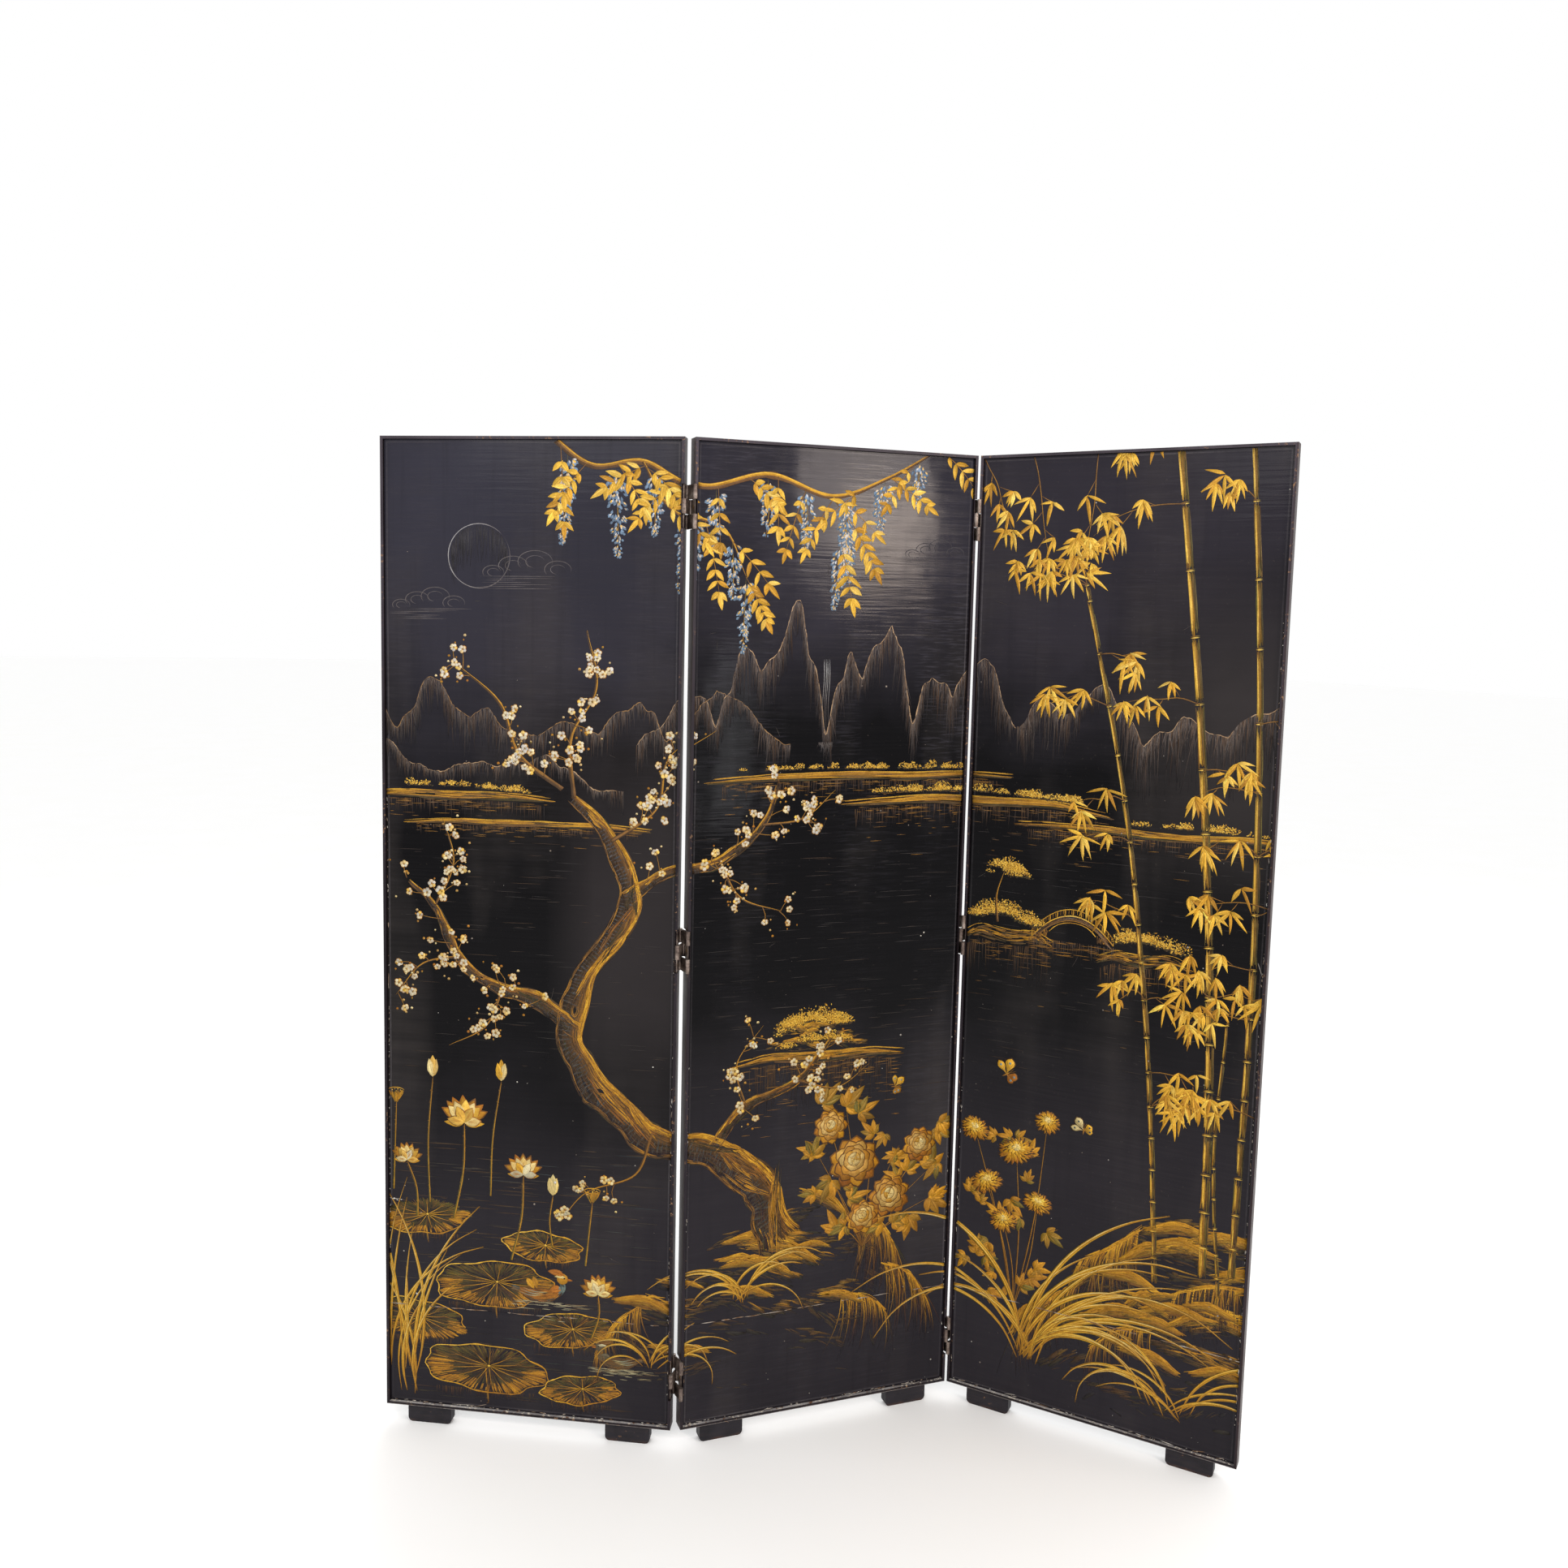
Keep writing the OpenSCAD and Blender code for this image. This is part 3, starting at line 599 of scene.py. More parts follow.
class Sheet:
    """the paint of one kind, over the three panels side by side"""

    def __init__(self, name, seed):
        self.name, self.rng, self.base, self.k = name, np.random.default_rng(seed), 0.02, 0
        self.out = [dict(v=[], f=[], c=[], count=0) for _ in range(3)]

    def at(self, level):
        self.base = 0.02 + level * 0.08
        return self

    def steps(self, left, right, layer):
        """for each stroke a small height step that the strokes it crosses don't have, so that no two faces coincide"""
        used = STEPS.setdefault(int(round((self.base + layer * 0.01) * 100)), {})
        cell = np.floor(np.concatenate([left, (left + right) / 2, right], 1) / 5).astype(int)
        out = np.empty(len(left), int)
        for i, row in enumerate((cell[..., 0] * 4096 + cell[..., 1]).tolist()):
            row = set(row)
            mask = 0
            for q in row:
                mask |= used.get(q, 0)
            k = (self.k + i) % 16
            if mask == 0xFFFF:
                for q in row:
                    used[q] = 0
            else:
                while mask >> k & 1:
                    k = (k + 1) % 16
            for q in row:
                used[q] = used.get(q, 0) | 1 << k
            out[i] = k
        return out

    def strips(self, left, right, colour, layer=0):
        """left, right: (m, n, 2) borders of m strokes; colour: (m, n, 3)"""
        left, right, colour = (np.asarray(x, float) for x in (left, right, colour))
        m, n = left.shape[:2]
        if m == 0:
            return
        if colour.ndim == 2:
            colour = np.repeat(colour[:, None], n, 1)
        h = self.base + layer * 0.01 + self.steps(left, right, layer) * 0.0006
        self.k += m
        mid = (left + right) / 2
        for p in range(3):
            off = np.array([p * W, 0.0])
            q = mid - off
            inside = (q[..., 0] > U0) & (q[..., 0] < U1) & (q[..., 1] > V0) & (q[..., 1] < V1)
            whole = inside.all(1)
            part = np.where(~whole & (inside.sum(1) >= 2))[0]
            l, r, c, hh = [left[whole] - off], [right[whole] - off], [colour[whole]], [h[whole]]
            if len(part):
                old, fine = np.linspace(0, 1, n), np.linspace(0, 1, 8 * n)
                for i in part:
                    x = np.interp(fine, old, q[i, :, 0])
                    y = np.interp(fine, old, q[i, :, 1])
                    ok = np.concatenate([[False], (x > U0) & (x < U1) & (y > V0) & (y < V1), [False]])
                    e = np.flatnonzero(np.diff(ok.astype(int)))
                    runs = e.reshape(-1, 2)
                    g = runs[np.argmax(runs[:, 1] - runs[:, 0])]
                    if g[1] - g[0] < 5:
                        continue
                    t = np.linspace(fine[g[0]], fine[g[1] - 1], n)
                    pickd = lambda z: np.stack([np.interp(t, old, z[:, j]) for j in range(z.shape[1])], 1)
                    l.append((pickd(left[i]) - off)[None])
                    r.append((pickd(right[i]) - off)[None])
                    c.append(pickd(colour[i])[None])
                    hh.append(h[i : i + 1])
            l, r, c, hh = (np.concatenate(x) for x in (l, r, c, hh))
            if len(l) == 0:
                continue
            for e in (l, r):
                np.clip(e[..., 0], U0, U1, out=e[..., 0])
                np.clip(e[..., 1], V0, V1, out=e[..., 1])
            o = self.out[p]
            k = len(l)
            v = np.empty((k, 4 * n, 3))
            v[:, :n, ::2], v[:, n : 2 * n, ::2] = l, r
            v[:, 2 * n : 3 * n, ::2], v[:, 3 * n :, ::2] = l, r
            v[:, : 2 * n, 1] = -hh[:, None]
            v[:, 2 * n :, 1] = 0
            f = template(n)[None] + (o["count"] + np.arange(k) * 4 * n)[:, None, None]
            o["count"] += k * 4 * n
            o["v"].append(v.reshape(-1, 3))
            o["f"].append(f.reshape(-1, 4))
            o["c"].append(np.tile(c, (1, 4, 1)).reshape(-1, 3))

    # -- strokes ---------------------------------------------------------
    def line(self, pts, width, colour, layer=0, n=None, taper=(0.35, 0.35), wobble=0.12, raw=False):
        """one stroke along a curve; width in mm at its widest"""
        path = np.asarray(pts, float) if raw else None
        if path is None:
            p = np.asarray(pts, float)
            length = np.hypot(*np.diff(p, axis=0).T).sum()
            n = n or int(np.clip(length / 9, 5, 60))
            path = spline(p, n)
        n = len(path)
        t = np.linspace(0, 1, n)
        w = np.ones(n)
        if taper[0]:
            w *= np.clip(t / taper[0], 0, 1) ** 0.7
        if taper[1]:
            w *= np.clip((1 - t) / taper[1], 0, 1) ** 0.7
        w = np.maximum(w * (1 + self.rng.normal(0, wobble, n)), 0.08) * width / 2
        nn = normals(path)
        c = A(colour)
        c = np.repeat(c[None], n, 0) if c.ndim == 1 else np.stack([np.interp(t, np.linspace(0, 1, len(c)), c[:, k]) for k in range(3)], 1)
        c = c * (1 + self.rng.normal(0, 0.06, n))[:, None]
        self.strips((path + nn * w[:, None])[None], (path - nn * w[:, None])[None], c[None], layer)

    def brush(self, pts, width, m, colours, layer=0, dash=(0.25, 0.7), bw=1.5, fade=(0.0, 0.0), shade=None, n=4, ragged=0.06, alpha=1.0):
        """m bristle marks along a curve. width: one number or one for each point. colours: list.
        fade: how much of the start and end goes dark. shade: (colour, side) darkens one side"""
        rng = self.rng
        p = np.asarray(pts, float)
        dense = spline(p, 80)
        w = np.asarray(width, float)
        w = np.full(80, w) if w.ndim == 0 else np.interp(np.linspace(0, 1, 80), np.linspace(0, 1, len(w)), w)
        nn = normals(dense)
        ts = np.linspace(0, 1, 80)
        s = rng.uniform(-1, 1, m)
        ln = rng.uniform(*dash, m)
        t0 = rng.uniform(-ragged, 1 - ln + ragged, m)
        t = t0[:, None] + ln[:, None] * np.linspace(0, 1, n)[None]
        tc = np.clip(t, 0, 1)
        over = t - tc
        pos = np.stack([np.interp(tc, ts, dense[:, k]) for k in (0, 1)], -1)
        nrm = np.stack([np.interp(tc, ts, nn[:, k]) for k in (0, 1)], -1)
        length = np.hypot(*np.diff(dense, axis=0).T).sum()
        tang = np.stack([nrm[..., 1], -nrm[..., 0]], -1)
        pos = pos + tang * (over * length)[..., None]
        ww = np.interp(tc, ts, w) / 2
        wave = 0.04 * np.sin(rng.uniform(0, 6.3, m)[:, None] + t * rng.uniform(4, 12, m)[:, None])
        pos = pos + nrm * ((s[:, None] + wave) * ww)[..., None]
        half = (bw / 2 * rng.uniform(0.35, 1.3, m))[:, None] * np.sin(np.pi * np.linspace(0.09, 0.95, n))[None] ** 0.5
        half = half * (1 + rng.normal(0, 0.12, (m, n)))
        half = np.maximum(half, 0.07)
        dn = normals(pos)
        c = pick(rng, colours, m)
        c = np.repeat(c[:, None], n, 1)
        if shade is not None:
            sc, side = shade
            k = np.clip((s * side) * 0.5 + 0.5, 0, 1)[:, None, None] ** 1.3
            c = c + (A(sc) - c) * k
        if fade[0]:
            k = (1 - np.clip(tc / fade[0], 0, 1))[..., None]
            c = c + (A(DARK) - c) * k
        if fade[1]:
            k = (1 - np.clip((1 - tc) / fade[1], 0, 1))[..., None]
            c = c + (A(DARK) - c) * k
        if alpha < 1:
            c = A(DARK) + (c - A(DARK)) * alpha
        self.strips(pos + dn * half[..., None], pos - dn * half[..., None], c, layer)

    def leaves(self, base, angle, length, width, colours, bend=0.0, layer=1, n=7, tip=0.8, shine=0.5, jitter=0.12):
        """pointed leaves from base points; angle in degrees"""
        rng = self.rng
        base = np.atleast_2d(np.asarray(base, float))
        m = max(len(base), np.size(angle), np.size(length), np.size(width))
        base = np.broadcast_to(base, (m, 2))
        a = np.radians(np.broadcast_to(np.asarray(angle, float), m))
        ln = np.broadcast_to(np.asarray(length, float), m)
        wd = np.broadcast_to(np.asarray(width, float), m)
        bd = np.broadcast_to(np.asarray(bend, float), m)
        t = np.linspace(0, 1, n)
        x = t[None] * ln[:, None]
        y = bd[:, None] * ln[:, None] * (t**2)[None]
        ca, sa = np.cos(a)[:, None], np.sin(a)[:, None]
        mid = np.stack([base[:, :1] + x * ca - y * sa, base[:, 1:] + x * sa + y * ca], -1)
        prof = np.sin(np.pi * np.clip(t, 0, 1) ** tip) ** 0.85
        prof = np.maximum(prof, 0.05)
        half = wd[:, None] / 2 * prof[None] * (1 + rng.normal(0, 0.05, (m, n)))
        half = np.maximum(half, 0.12)
        nn = normals(mid)
        c = pick(rng, colours, m, jitter)
        grad = 1 + 0.16 * (t[None] - 0.5) * rng.choice([-1, 1], m)[:, None]
        cc = np.clip(c[:, None] * grad[..., None], 0, 1)
        self.strips(mid + nn * half[..., None], mid - nn * half[..., None], cc, layer)
        if shine:
            side = rng.choice([-1.0, 1.0], m)[:, None, None]
            off = mid + nn * (half * 0.45)[..., None] * side
            h2 = np.maximum(half * 0.26, 0.08)[..., None]
            lift = np.clip(cc * (1 + 0.35 * shine) + 0.03 * shine, 0, 1)
            sl = slice(1, n - 1)
            self.strips((off + nn * h2)[:, sl], (off - nn * h2)[:, sl], lift[:, sl], layer + 1)
            low = np.clip(cc * 0.62, 0, 1)
            h3 = np.maximum(half * 0.05, 0.12)[..., None]
            self.strips((mid + nn * h3)[:, sl], (mid - nn * h3)[:, sl], low[:, sl], layer + 1)

    def dabs(self, centre, spread, m, size, colours, layer=0, angle=(0, 180), squash=0.45, n=4):
        """short touches of a brush scattered about a place"""
        rng = self.rng
        c = np.asarray(centre, float) + rng.normal(0, 1, (m, 2)) * np.asarray(spread, float)
        self.leaves(c, rng.uniform(*angle, m), rng.uniform(*size, m), rng.uniform(size[0], size[1], m) * squash, colours, layer=layer, n=n, tip=0.9, shine=0)

    def spots(self, centres, radii, colours, layer=2, n=7):
        """round dots"""
        rng = self.rng
        centres = np.atleast_2d(centres)
        m = len(centres)
        r = np.broadcast_to(np.asarray(radii, float), m)
        t = np.linspace(-0.99, 0.99, n)
        half = np.sqrt(1 - t**2)[None] * r[:, None]
        a = rng.uniform(0, np.pi, m)
        d = np.stack([np.cos(a), np.sin(a)], 1)[:, None]
        q = np.stack([-np.sin(a), np.cos(a)], 1)[:, None]
        mid = centres[:, None] + d * (t[None, :, None] * r[:, None, None])
        self.strips(mid + q * half[..., None], mid - q * half[..., None], pick(rng, colours, m), layer)

    def ring(self, centre, rx, ry, width, colour, layer=1, turn=0.0, start=0.0, end=360.0, n=28, taper=(0.2, 0.2)):
        a = np.radians(np.linspace(start, end, n))
        x, y = rx * np.cos(a), ry * np.sin(a)
        k = math.radians(turn)
        p = np.stack([centre[0] + x * math.cos(k) - y * math.sin(k), centre[1] + x * math.sin(k) + y * math.cos(k)], 1)
        self.line(p, width, colour, layer, taper=taper, raw=True)


GOLDS = [GOLD_DEEP, GOLD, GOLD_HI]
WARM = [AMBER, OCHRE, GOLD_DEEP]
BARK = [UMBER, BROWN, OCHRE]
SHADE = [DARK, MOSS, UMBER]
LEAF = [OCHRE, GOLD_DEEP, GOLD, GOLD, GOLD_HI]


def along(pts, t):
    p = spline(pts, 200)
    x = np.linspace(0, 1, 200)
    t = np.asarray(t, float)
    d = np.gradient(p, axis=0)
    a = np.degrees(np.arctan2(d[:, 1], d[:, 0]))
    a = np.unwrap(a, period=360)
    return np.stack([np.interp(t, x, p[:, 0]), np.interp(t, x, p[:, 1])], -1), np.interp(t, x, a)


def falls(s, top, angle, length, m, colours, layer=0, bend=0.0, bw=1.5, spread=4.0, keep=0.35, n=4, start=0.0, power=1.4, into=DARK):
    """bristle marks that start on a line and trail away from it, fading"""
    rng = s.rng
    t = rng.uniform(0, 1, m)
    p0, _ = along(top, t)
    ang = np.radians(np.interp(t, np.linspace(0, 1, len(np.atleast_1d(angle))), np.atleast_1d(angle)) + rng.normal(0, spread, m))
    ln = np.interp(t, np.linspace(0, 1, len(np.atleast_1d(length))), np.atleast_1d(length)) * rng.uniform(keep, 1.0, m)
    bd = np.interp(t, np.linspace(0, 1, len(np.atleast_1d(bend))), np.atleast_1d(bend)) * rng.uniform(0.6, 1.3, m)
    q = np.linspace(0, 1, n)[None]
    x = q * ln[:, None]
    y = bd[:, None] * ln[:, None] * q**2
    ca, sa = np.cos(ang)[:, None], np.sin(ang)[:, None]
    off = rng.normal(0, start, (m, 2)) if start else 0
    pos = (p0 + off)[:, None] + np.stack([x * ca - y * sa, x * sa + y * ca], -1)
    half = (bw / 2 * rng.uniform(0.4, 1.35, m))[:, None] * (1 - 0.75 * q**1.5) * (1 + rng.normal(0, 0.12, (m, n)))
    half[:, 0] *= 0.5
    half = np.maximum(half, 0.08)
    c = pick(rng, colours, m)[:, None] * np.ones((1, n, 1))
    c = c + (A(into) - c) * (q**power)[..., None]
    nn = normals(pos)
    s.strips(pos + nn * half[..., None], pos - nn * half[..., None], c, layer)


def stone(s, top, height, layer=0, lean=-90, bend=0.0, tone=1.0, lit=1.0, density=1.0):
    """one boulder: dark body, falling marks, and a bright worn upper face"""
    rng = s.rng
    p = np.asarray(top, float)
    length = np.hypot(*np.diff(spline(p, 40), axis=0).T).sum()
    k = length / 100 * density
    falls(s, p, (lean - 12, lean + 12), height * 1.15, int(150 * k), SHADE, layer, bend, 2.6, 7, 0.4, power=2.2)
    falls(s, p, (lean - 10, lean + 10), height, int(120 * k), [UMBER, BROWN, OLIVE], layer + 1, bend, 1.7, 8, 0.35, power=1.5)
    falls(s, p, (lean - 8, lean + 8), height * 0.8, int(90 * k * tone), [BROWN, OCHRE, GOLD_DEEP], layer + 2, bend, 1.6, 8, 0.2, power=1.2)
    if lit:
        q = p - np.array([0, height * 0.09])
        s.brush(q, [height * 0.10, height * 0.26, height * 0.30, height * 0.12], int(170 * k * lit), [OCHRE, GOLD_DEEP, GOLD, GOLD_DEEP], layer + 3, dash=(0.10, 0.34), bw=1.9, ragged=0.05)
        falls(s, p, (lean - 6, lean + 6), height * 0.36, int(70 * k * lit), GOLDS, layer + 4, bend, 1.7, 9, 0.2, power=1.6)
        s.brush(p, height * 0.05, int(34 * k), [GOLD, GOLD_HI], layer + 5, dash=(0.12, 0.3), bw=1.3)


def trunk(s, pts, widths, layer=0, side=1, tone=1.0, blue=True):
    """old wood: dark body, long bark marks, a gold lit flank and a rough cool one"""
    rng = s.rng
    p = spline(pts, 160)
    length = np.hypot(*np.diff(p, axis=0).T).sum()
    w = np.interp(np.linspace(0, 1, 160), np.linspace(0, 1, len(widths)), widths)
    nn = normals(p)
    x = np.linspace(0, 1, 160)
    slow = np.interp(x, np.linspace(0, 1, max(4, int(length / 55))), rng.normal(0, 1, max(4, int(length / 55))))
    quick = np.interp(x, np.linspace(0, 1, max(4, int(length / 16))), rng.normal(0, 1, max(4, int(length / 16))))
    fade_in = np.clip(x / 0.04, 0, 1)[:, None] * np.clip((1 - x) / 0.04, 0, 1)[:, None]
    p = p + nn * ((0.12 * slow + 0.035 * quick) * w)[:, None] * fade_in
    nn = normals(p)
    wob = w * (1 + 0.13 * np.interp(x, np.linspace(0, 1, max(4, int(length / 30))), rng.normal(0, 1, max(4, int(length / 30)))) + 0.05 * quick)
    k = length / 100 * w.mean() / 30
    d = lambda mm: (0.35 * mm / length, mm / length)
    step = 4
    s.brush(p[::step], wob[::step], int(80 * k), [DARK, UMBER, MOSS], layer, dash=d(64), bw=5.0, ragged=0.0)
    s.brush(p[::step], wob[::step] * 0.98, int(120 * k), [UMBER, BROWN, MOSS], layer + 1, dash=d(46), bw=1.9, shade=(DARK, -side), ragged=0.0)
    lit = p + nn * (side * wob * 0.25)[:, None]
    s.brush(lit[::step], wob[::step] * 0.46, int(90 * k * tone), [UMBER, BROWN, OCHRE, AMBER], layer + 2, dash=d(40), bw=1.9, shade=(UMBER, -side), ragged=0.0)
    lit = p + nn * (side * wob * 0.41)[:, None]
    s.brush(lit[::step], wob[::step] * 0.17, int(46 * k * tone), [BROWN, OCHRE, GOLD_DEEP, GOLD], layer + 3, dash=d(34), bw=1.8, ragged=0.0)
    far = p - nn * (side * wob * 0.45)[:, None]
    s.brush(far[::step], wob[::step] * 0.1, int(20 * k), [UMBER, BROWN, OCHRE], layer + 3, dash=d(30), bw=1.3, ragged=0.0)
    # short curved marks across the bark on the far flank
    m = int(95 * k)
    t = rng.uniform(0.02, 0.98, m)
    i = (t * 159).astype(int)
    q = p[i] - nn[i] * (side * wob[i] * rng.uniform(0.02, 0.46, m))[:, None]
    a = np.degrees(np.arctan2(nn[i][:, 1], nn[i][:, 0])) + 180 * (side < 0) + rng.normal(0, 9, m) + 28
    cool = [lerp(DARK, GREY, 0.55), lerp(DARK, BLUE_DK, 0.8), UMBER, lerp(DARK, GREY, 0.8)]
    s.leaves(q, a, wob[i] * rng.uniform(0.10, 0.24, m), 0.9, cool if blue else [GREY, BROWN, UMBER], bend=rng.uniform(-0.35, -0.1, m), layer=layer + 3, n=3, shine=0)
    # streaks of worn gold and dark hollows
    for t in rng.uniform(0.06, 0.94, max(2, int(length / 60))):
        i = int(t * 159)
        c = p[i] + nn[i] * side * wob[i] * rng.uniform(-0.15, 0.32)
        tg = np.array([nn[i][1], -nn[i][0]])
        e = w[i] * rng.uniform(0.5, 1.0)
        tone_of = [[BROWN, OCHRE, GOLD_DEEP], [DARK, MOSS, UMBER], [UMBER, BROWN, AMBER]][int(rng.integers(0, 3))]
        s.brush([c - tg * e, c + nn[i] * w[i] * 0.06, c + tg * e], [w[i] * 0.14, w[i] * 0.26, w[i] * 0.16], int(8 + w[i] * 0.3), tone_of, layer + 4, dash=(0.2, 0.55), bw=1.5, ragged=0.2)
    for t in rng.uniform(0.2, 0.85, int(length / 420)):
        c = p[int(t * 159)] + nn[int(t * 159)] * side * w[int(t * 159)] * 0.1
        r = w[int(t * 159)] * 0.15
        g = np.degrees(np.arctan2(-nn[int(t * 159)][0], nn[int(t * 159)][1]))
        s.leaves(np.repeat((c - [0, 0])[None], 1, 0), g, r * 1.8, r * 0.8, [DARK], layer=layer + 5, n=7, tip=1.0, shine=0)
        for kk in range(2):
            s.ring(c + r * 0.9 * np.array([math.cos(math.radians(g)), math.sin(math.radians(g))]), r * (1.35 + 0.4 * kk), r * (0.6 + 0.3 * kk), 1.3, [UMBER, OCHRE, BROWN], layer + 5, turn=g, start=rng.uniform(0, 60), end=rng.uniform(210, 330), n=12)


def ramp_of(x, stops):
    xs = np.array([k for k, _ in stops])
    cs = np.array([A(c) for _, c in stops])
    return np.stack([np.interp(x, xs, cs[:, j]) for j in range(3)], -1)


ROCK = [(0.0, DARK), (0.2, lerp(DARK, MOSS, 0.7)), (0.36, UMBER), (0.5, lerp(BROWN, OLIVE, 0.45)), (0.64, OCHRE), (0.8, GOLD_DEEP), (1.0, GOLD)]


def crag(s, outline, m, facet=(95, 36), layer=0, flow=None, fade=None, tone=0.0, seed=1, n=4, span=(14, 44), bw=2.3):
    """a mass of rock in dry brush. outline: closed polygon (u, v); facets are sloping plates,
    bright along their upper edge; flow(u, v) adds to the angle; fade(u, v) thins and dims"""
    rng = np.random.default_rng(seed)
    poly = np.asarray(outline, float)
    lo, hi = poly.min(0), poly.max(0)
    area = 0.5 * abs(np.dot(poly[:, 0], np.roll(poly[:, 1], 1)) - np.dot(poly[:, 1], np.roll(poly[:, 0], 1)))
    count = max(5, int(area / (facet[0] * facet[1] * 0.62)))

    def inside(q):
        x, y = q[:, 0], q[:, 1]
        r = np.zeros(len(q), bool)
        j = len(poly) - 1
        for i in range(len(poly)):
            xi, yi, xj, yj = *poly[i], *poly[j]
            c = ((yi > y) != (yj > y)) & (x < (xj - xi) * (y - yi) / (yj - yi + 1e-12) + xi)
            r ^= c
            j = i
        return r

    def fill(k):
        out = np.zeros((0, 2))
        while len(out) < k:
            q = rng.uniform(lo, hi, (3 * k, 2))
            out = np.vstack([out, q[inside(q)]])
        return out[:k]

    seeds = fill(count)
    ang = rng.normal(0, 13, count)
    size = rng.uniform(0.65, 1.4, (count, 1)) * np.array(facet)[None] / 2
    gain = rng.uniform(0.35, 1.0, count)
    lean = rng.normal(0, 0.35, count)

    def shade(q):
        d = q[:, None] - seeds[None]
        a = np.radians(ang)[None]
        x = d[..., 0] * np.cos(a) + d[..., 1] * np.sin(a)
        y = -d[..., 0] * np.sin(a) + d[..., 1] * np.cos(a)
        x, y = x / size[None, :, 0], y / size[None, :, 1]
        r = x**2 + y**2 + 0.6 * y
        w = np.argmin(r, 1)
        i = np.arange(len(q))
        yy, xx = y[i, w], x[i, w]
        b = 0.46 + 0.52 * yy - 0.18 * xx * lean[w] * 2 + (gain[w] - 0.6) * 0.75
        b -= 0.35 * np.clip(r[i, w] - 1.1, 0, 2)
        return b, w, yy

    for stage, (share, width, soft, bias, reach) in enumerate([(0.20, 2.9, 0.04, -0.16, 1.25), (0.34, 1.7, 0.09, -0.02, 1.0), (0.46, 0.75, 0.16, 0.03, 0.9)]):
        k = int(m * share)
        q = fill(k)
        b, w, yy = shade(q)
        a = ang[w] + rng.normal(0, 4.5, k) - 14 * np.clip(-yy, 0, 2)
        if flow is not None:
            a = a + flow(q[:, 0], q[:, 1])
        b = b + rng.normal(0, soft, k) + bias + tone
        if fade is not None:
            f = fade(q[:, 0], q[:, 1])
            keep = rng.random(k) < (f**1.7, f**1.1, f**0.6 + 0.05)[stage]
            b = b * f
        else:
            keep = np.ones(k, bool)
        keep &= b > (0.10 if stage == 0 else 0.22)
        q, a, b = q[keep], np.radians(a[keep]), np.clip(b[keep], 0, 1)
        k = len(q)
        ln = rng.uniform(*span, k) * (0.7 + 0.5 * b) * reach
        bend = rng.normal(-0.05, 0.06, k)
        t = np.linspace(-0.5, 0.5, n)[None]
        x = t * ln[:, None]
        y = bend[:, None] * ln[:, None] * (2 * t) ** 2 * 0.5
        ca, sa = np.cos(a)[:, None], np.sin(a)[:, None]
        pos = q[:, None] + np.stack([x * ca - y * sa, x * sa + y * ca], -1)
        half = (bw * width / 2 * rng.uniform(0.5, 1.25, k))[:, None] * np.sin(np.pi * np.linspace(0.1, 0.93, n))[None] ** 0.45
        half = np.maximum(half * (1 + rng.normal(0, 0.15, (k, n))), 0.1)
        dim = np.interp(np.linspace(0, 1, n), [0, 0.3, 0.7, 1], [0.86, 1, 1, 0.8])
        cc = ramp_of(b[:, None] * dim[None], ROCK) * (1 + rng.normal(0, 0.05, k))[:, None, None]
        nn = normals(pos)
        s.strips(pos + nn * half[..., None], pos - nn * half[..., None], cc, layer + (0, 2, 4)[stage])
    # solid plates with ragged ends on the brightest facets
    for i in np.argsort(-gain)[: int(count * 0.62)]:
        c = seeds[i] + [0, size[i, 1] * 0.42]
        if fade is not None and fade(c[0:1], c[1:2])[0] < 0.5:
            continue
        aa = np.radians(ang[i] + (flow(c[0:1], c[1:2])[0] if flow is not None else 0))
        e = size[i, 0] * np.array([math.cos(aa), math.sin(aa)]) * 0.78
        up = size[i, 1] * np.array([-math.sin(aa), math.cos(aa)])
        path = [c - e - up * 0.2, c + up * 0.15, c + e - up * 0.35]
        wd = [size[i, 1] * 0.45, size[i, 1] * 0.95, size[i, 1] * 0.4]
        k = int(8 + size[i, 0] * size[i, 1] / 42)
        s.brush(path, wd, k, [OCHRE, GOLD_DEEP, GOLD_DEEP], layer + 5, dash=(0.25, 0.6), bw=3.6, ragged=0.10, shade=(BROWN, -1))
        s.brush(path, wd, int(k * 1.3), [OCHRE, GOLD_DEEP, GOLD], layer + 6, dash=(0.10, 0.34), bw=1.7, ragged=0.16, shade=(lerp(BROWN, OLIVE, 0.5), -1))
        s.brush(np.array(path) - up * 0.35, np.array(wd) * 0.5, int(k * 0.4), [MOSS, UMBER], layer + 7, dash=(0.05, 0.16), bw=0.9, ragged=0.0)


def cascade(s, top, angle, length, bend, m, layer=3, bw=2.2, colours=(OCHRE, GOLD_DEEP, GOLD)):
    """a worn edge of rock whose marks sweep down and die away"""
    falls(s, top, angle, length, int(m * 0.5), [MOSS, UMBER, BROWN], layer, bend, bw * 1.3, 5, 0.4, n=6, power=1.3)
    falls(s, top, angle, np.asarray(length) * 0.85, int(m * 0.5), list(colours), layer + 1, bend, bw, 5, 0.15, n=6, power=0.9)
    s.brush(top, 7, int(m * 0.35), [OCHRE, GOLD_DEEP, GOLD], layer + 2, dash=(0.1, 0.3), bw=1.8)


def twig(s, pts, width, layer=0, colours=None, taper=(0.0, 0.75)):
    colours = colours or [BROWN, OCHRE, GOLD_DEEP]
    s.line(pts, width, UMBER, layer, taper=taper)
    off = np.asarray(pts, float) + [0.25 * width, 0.2 * width]
    s.line(off, width * 0.55, colours, layer + 1, taper=taper)


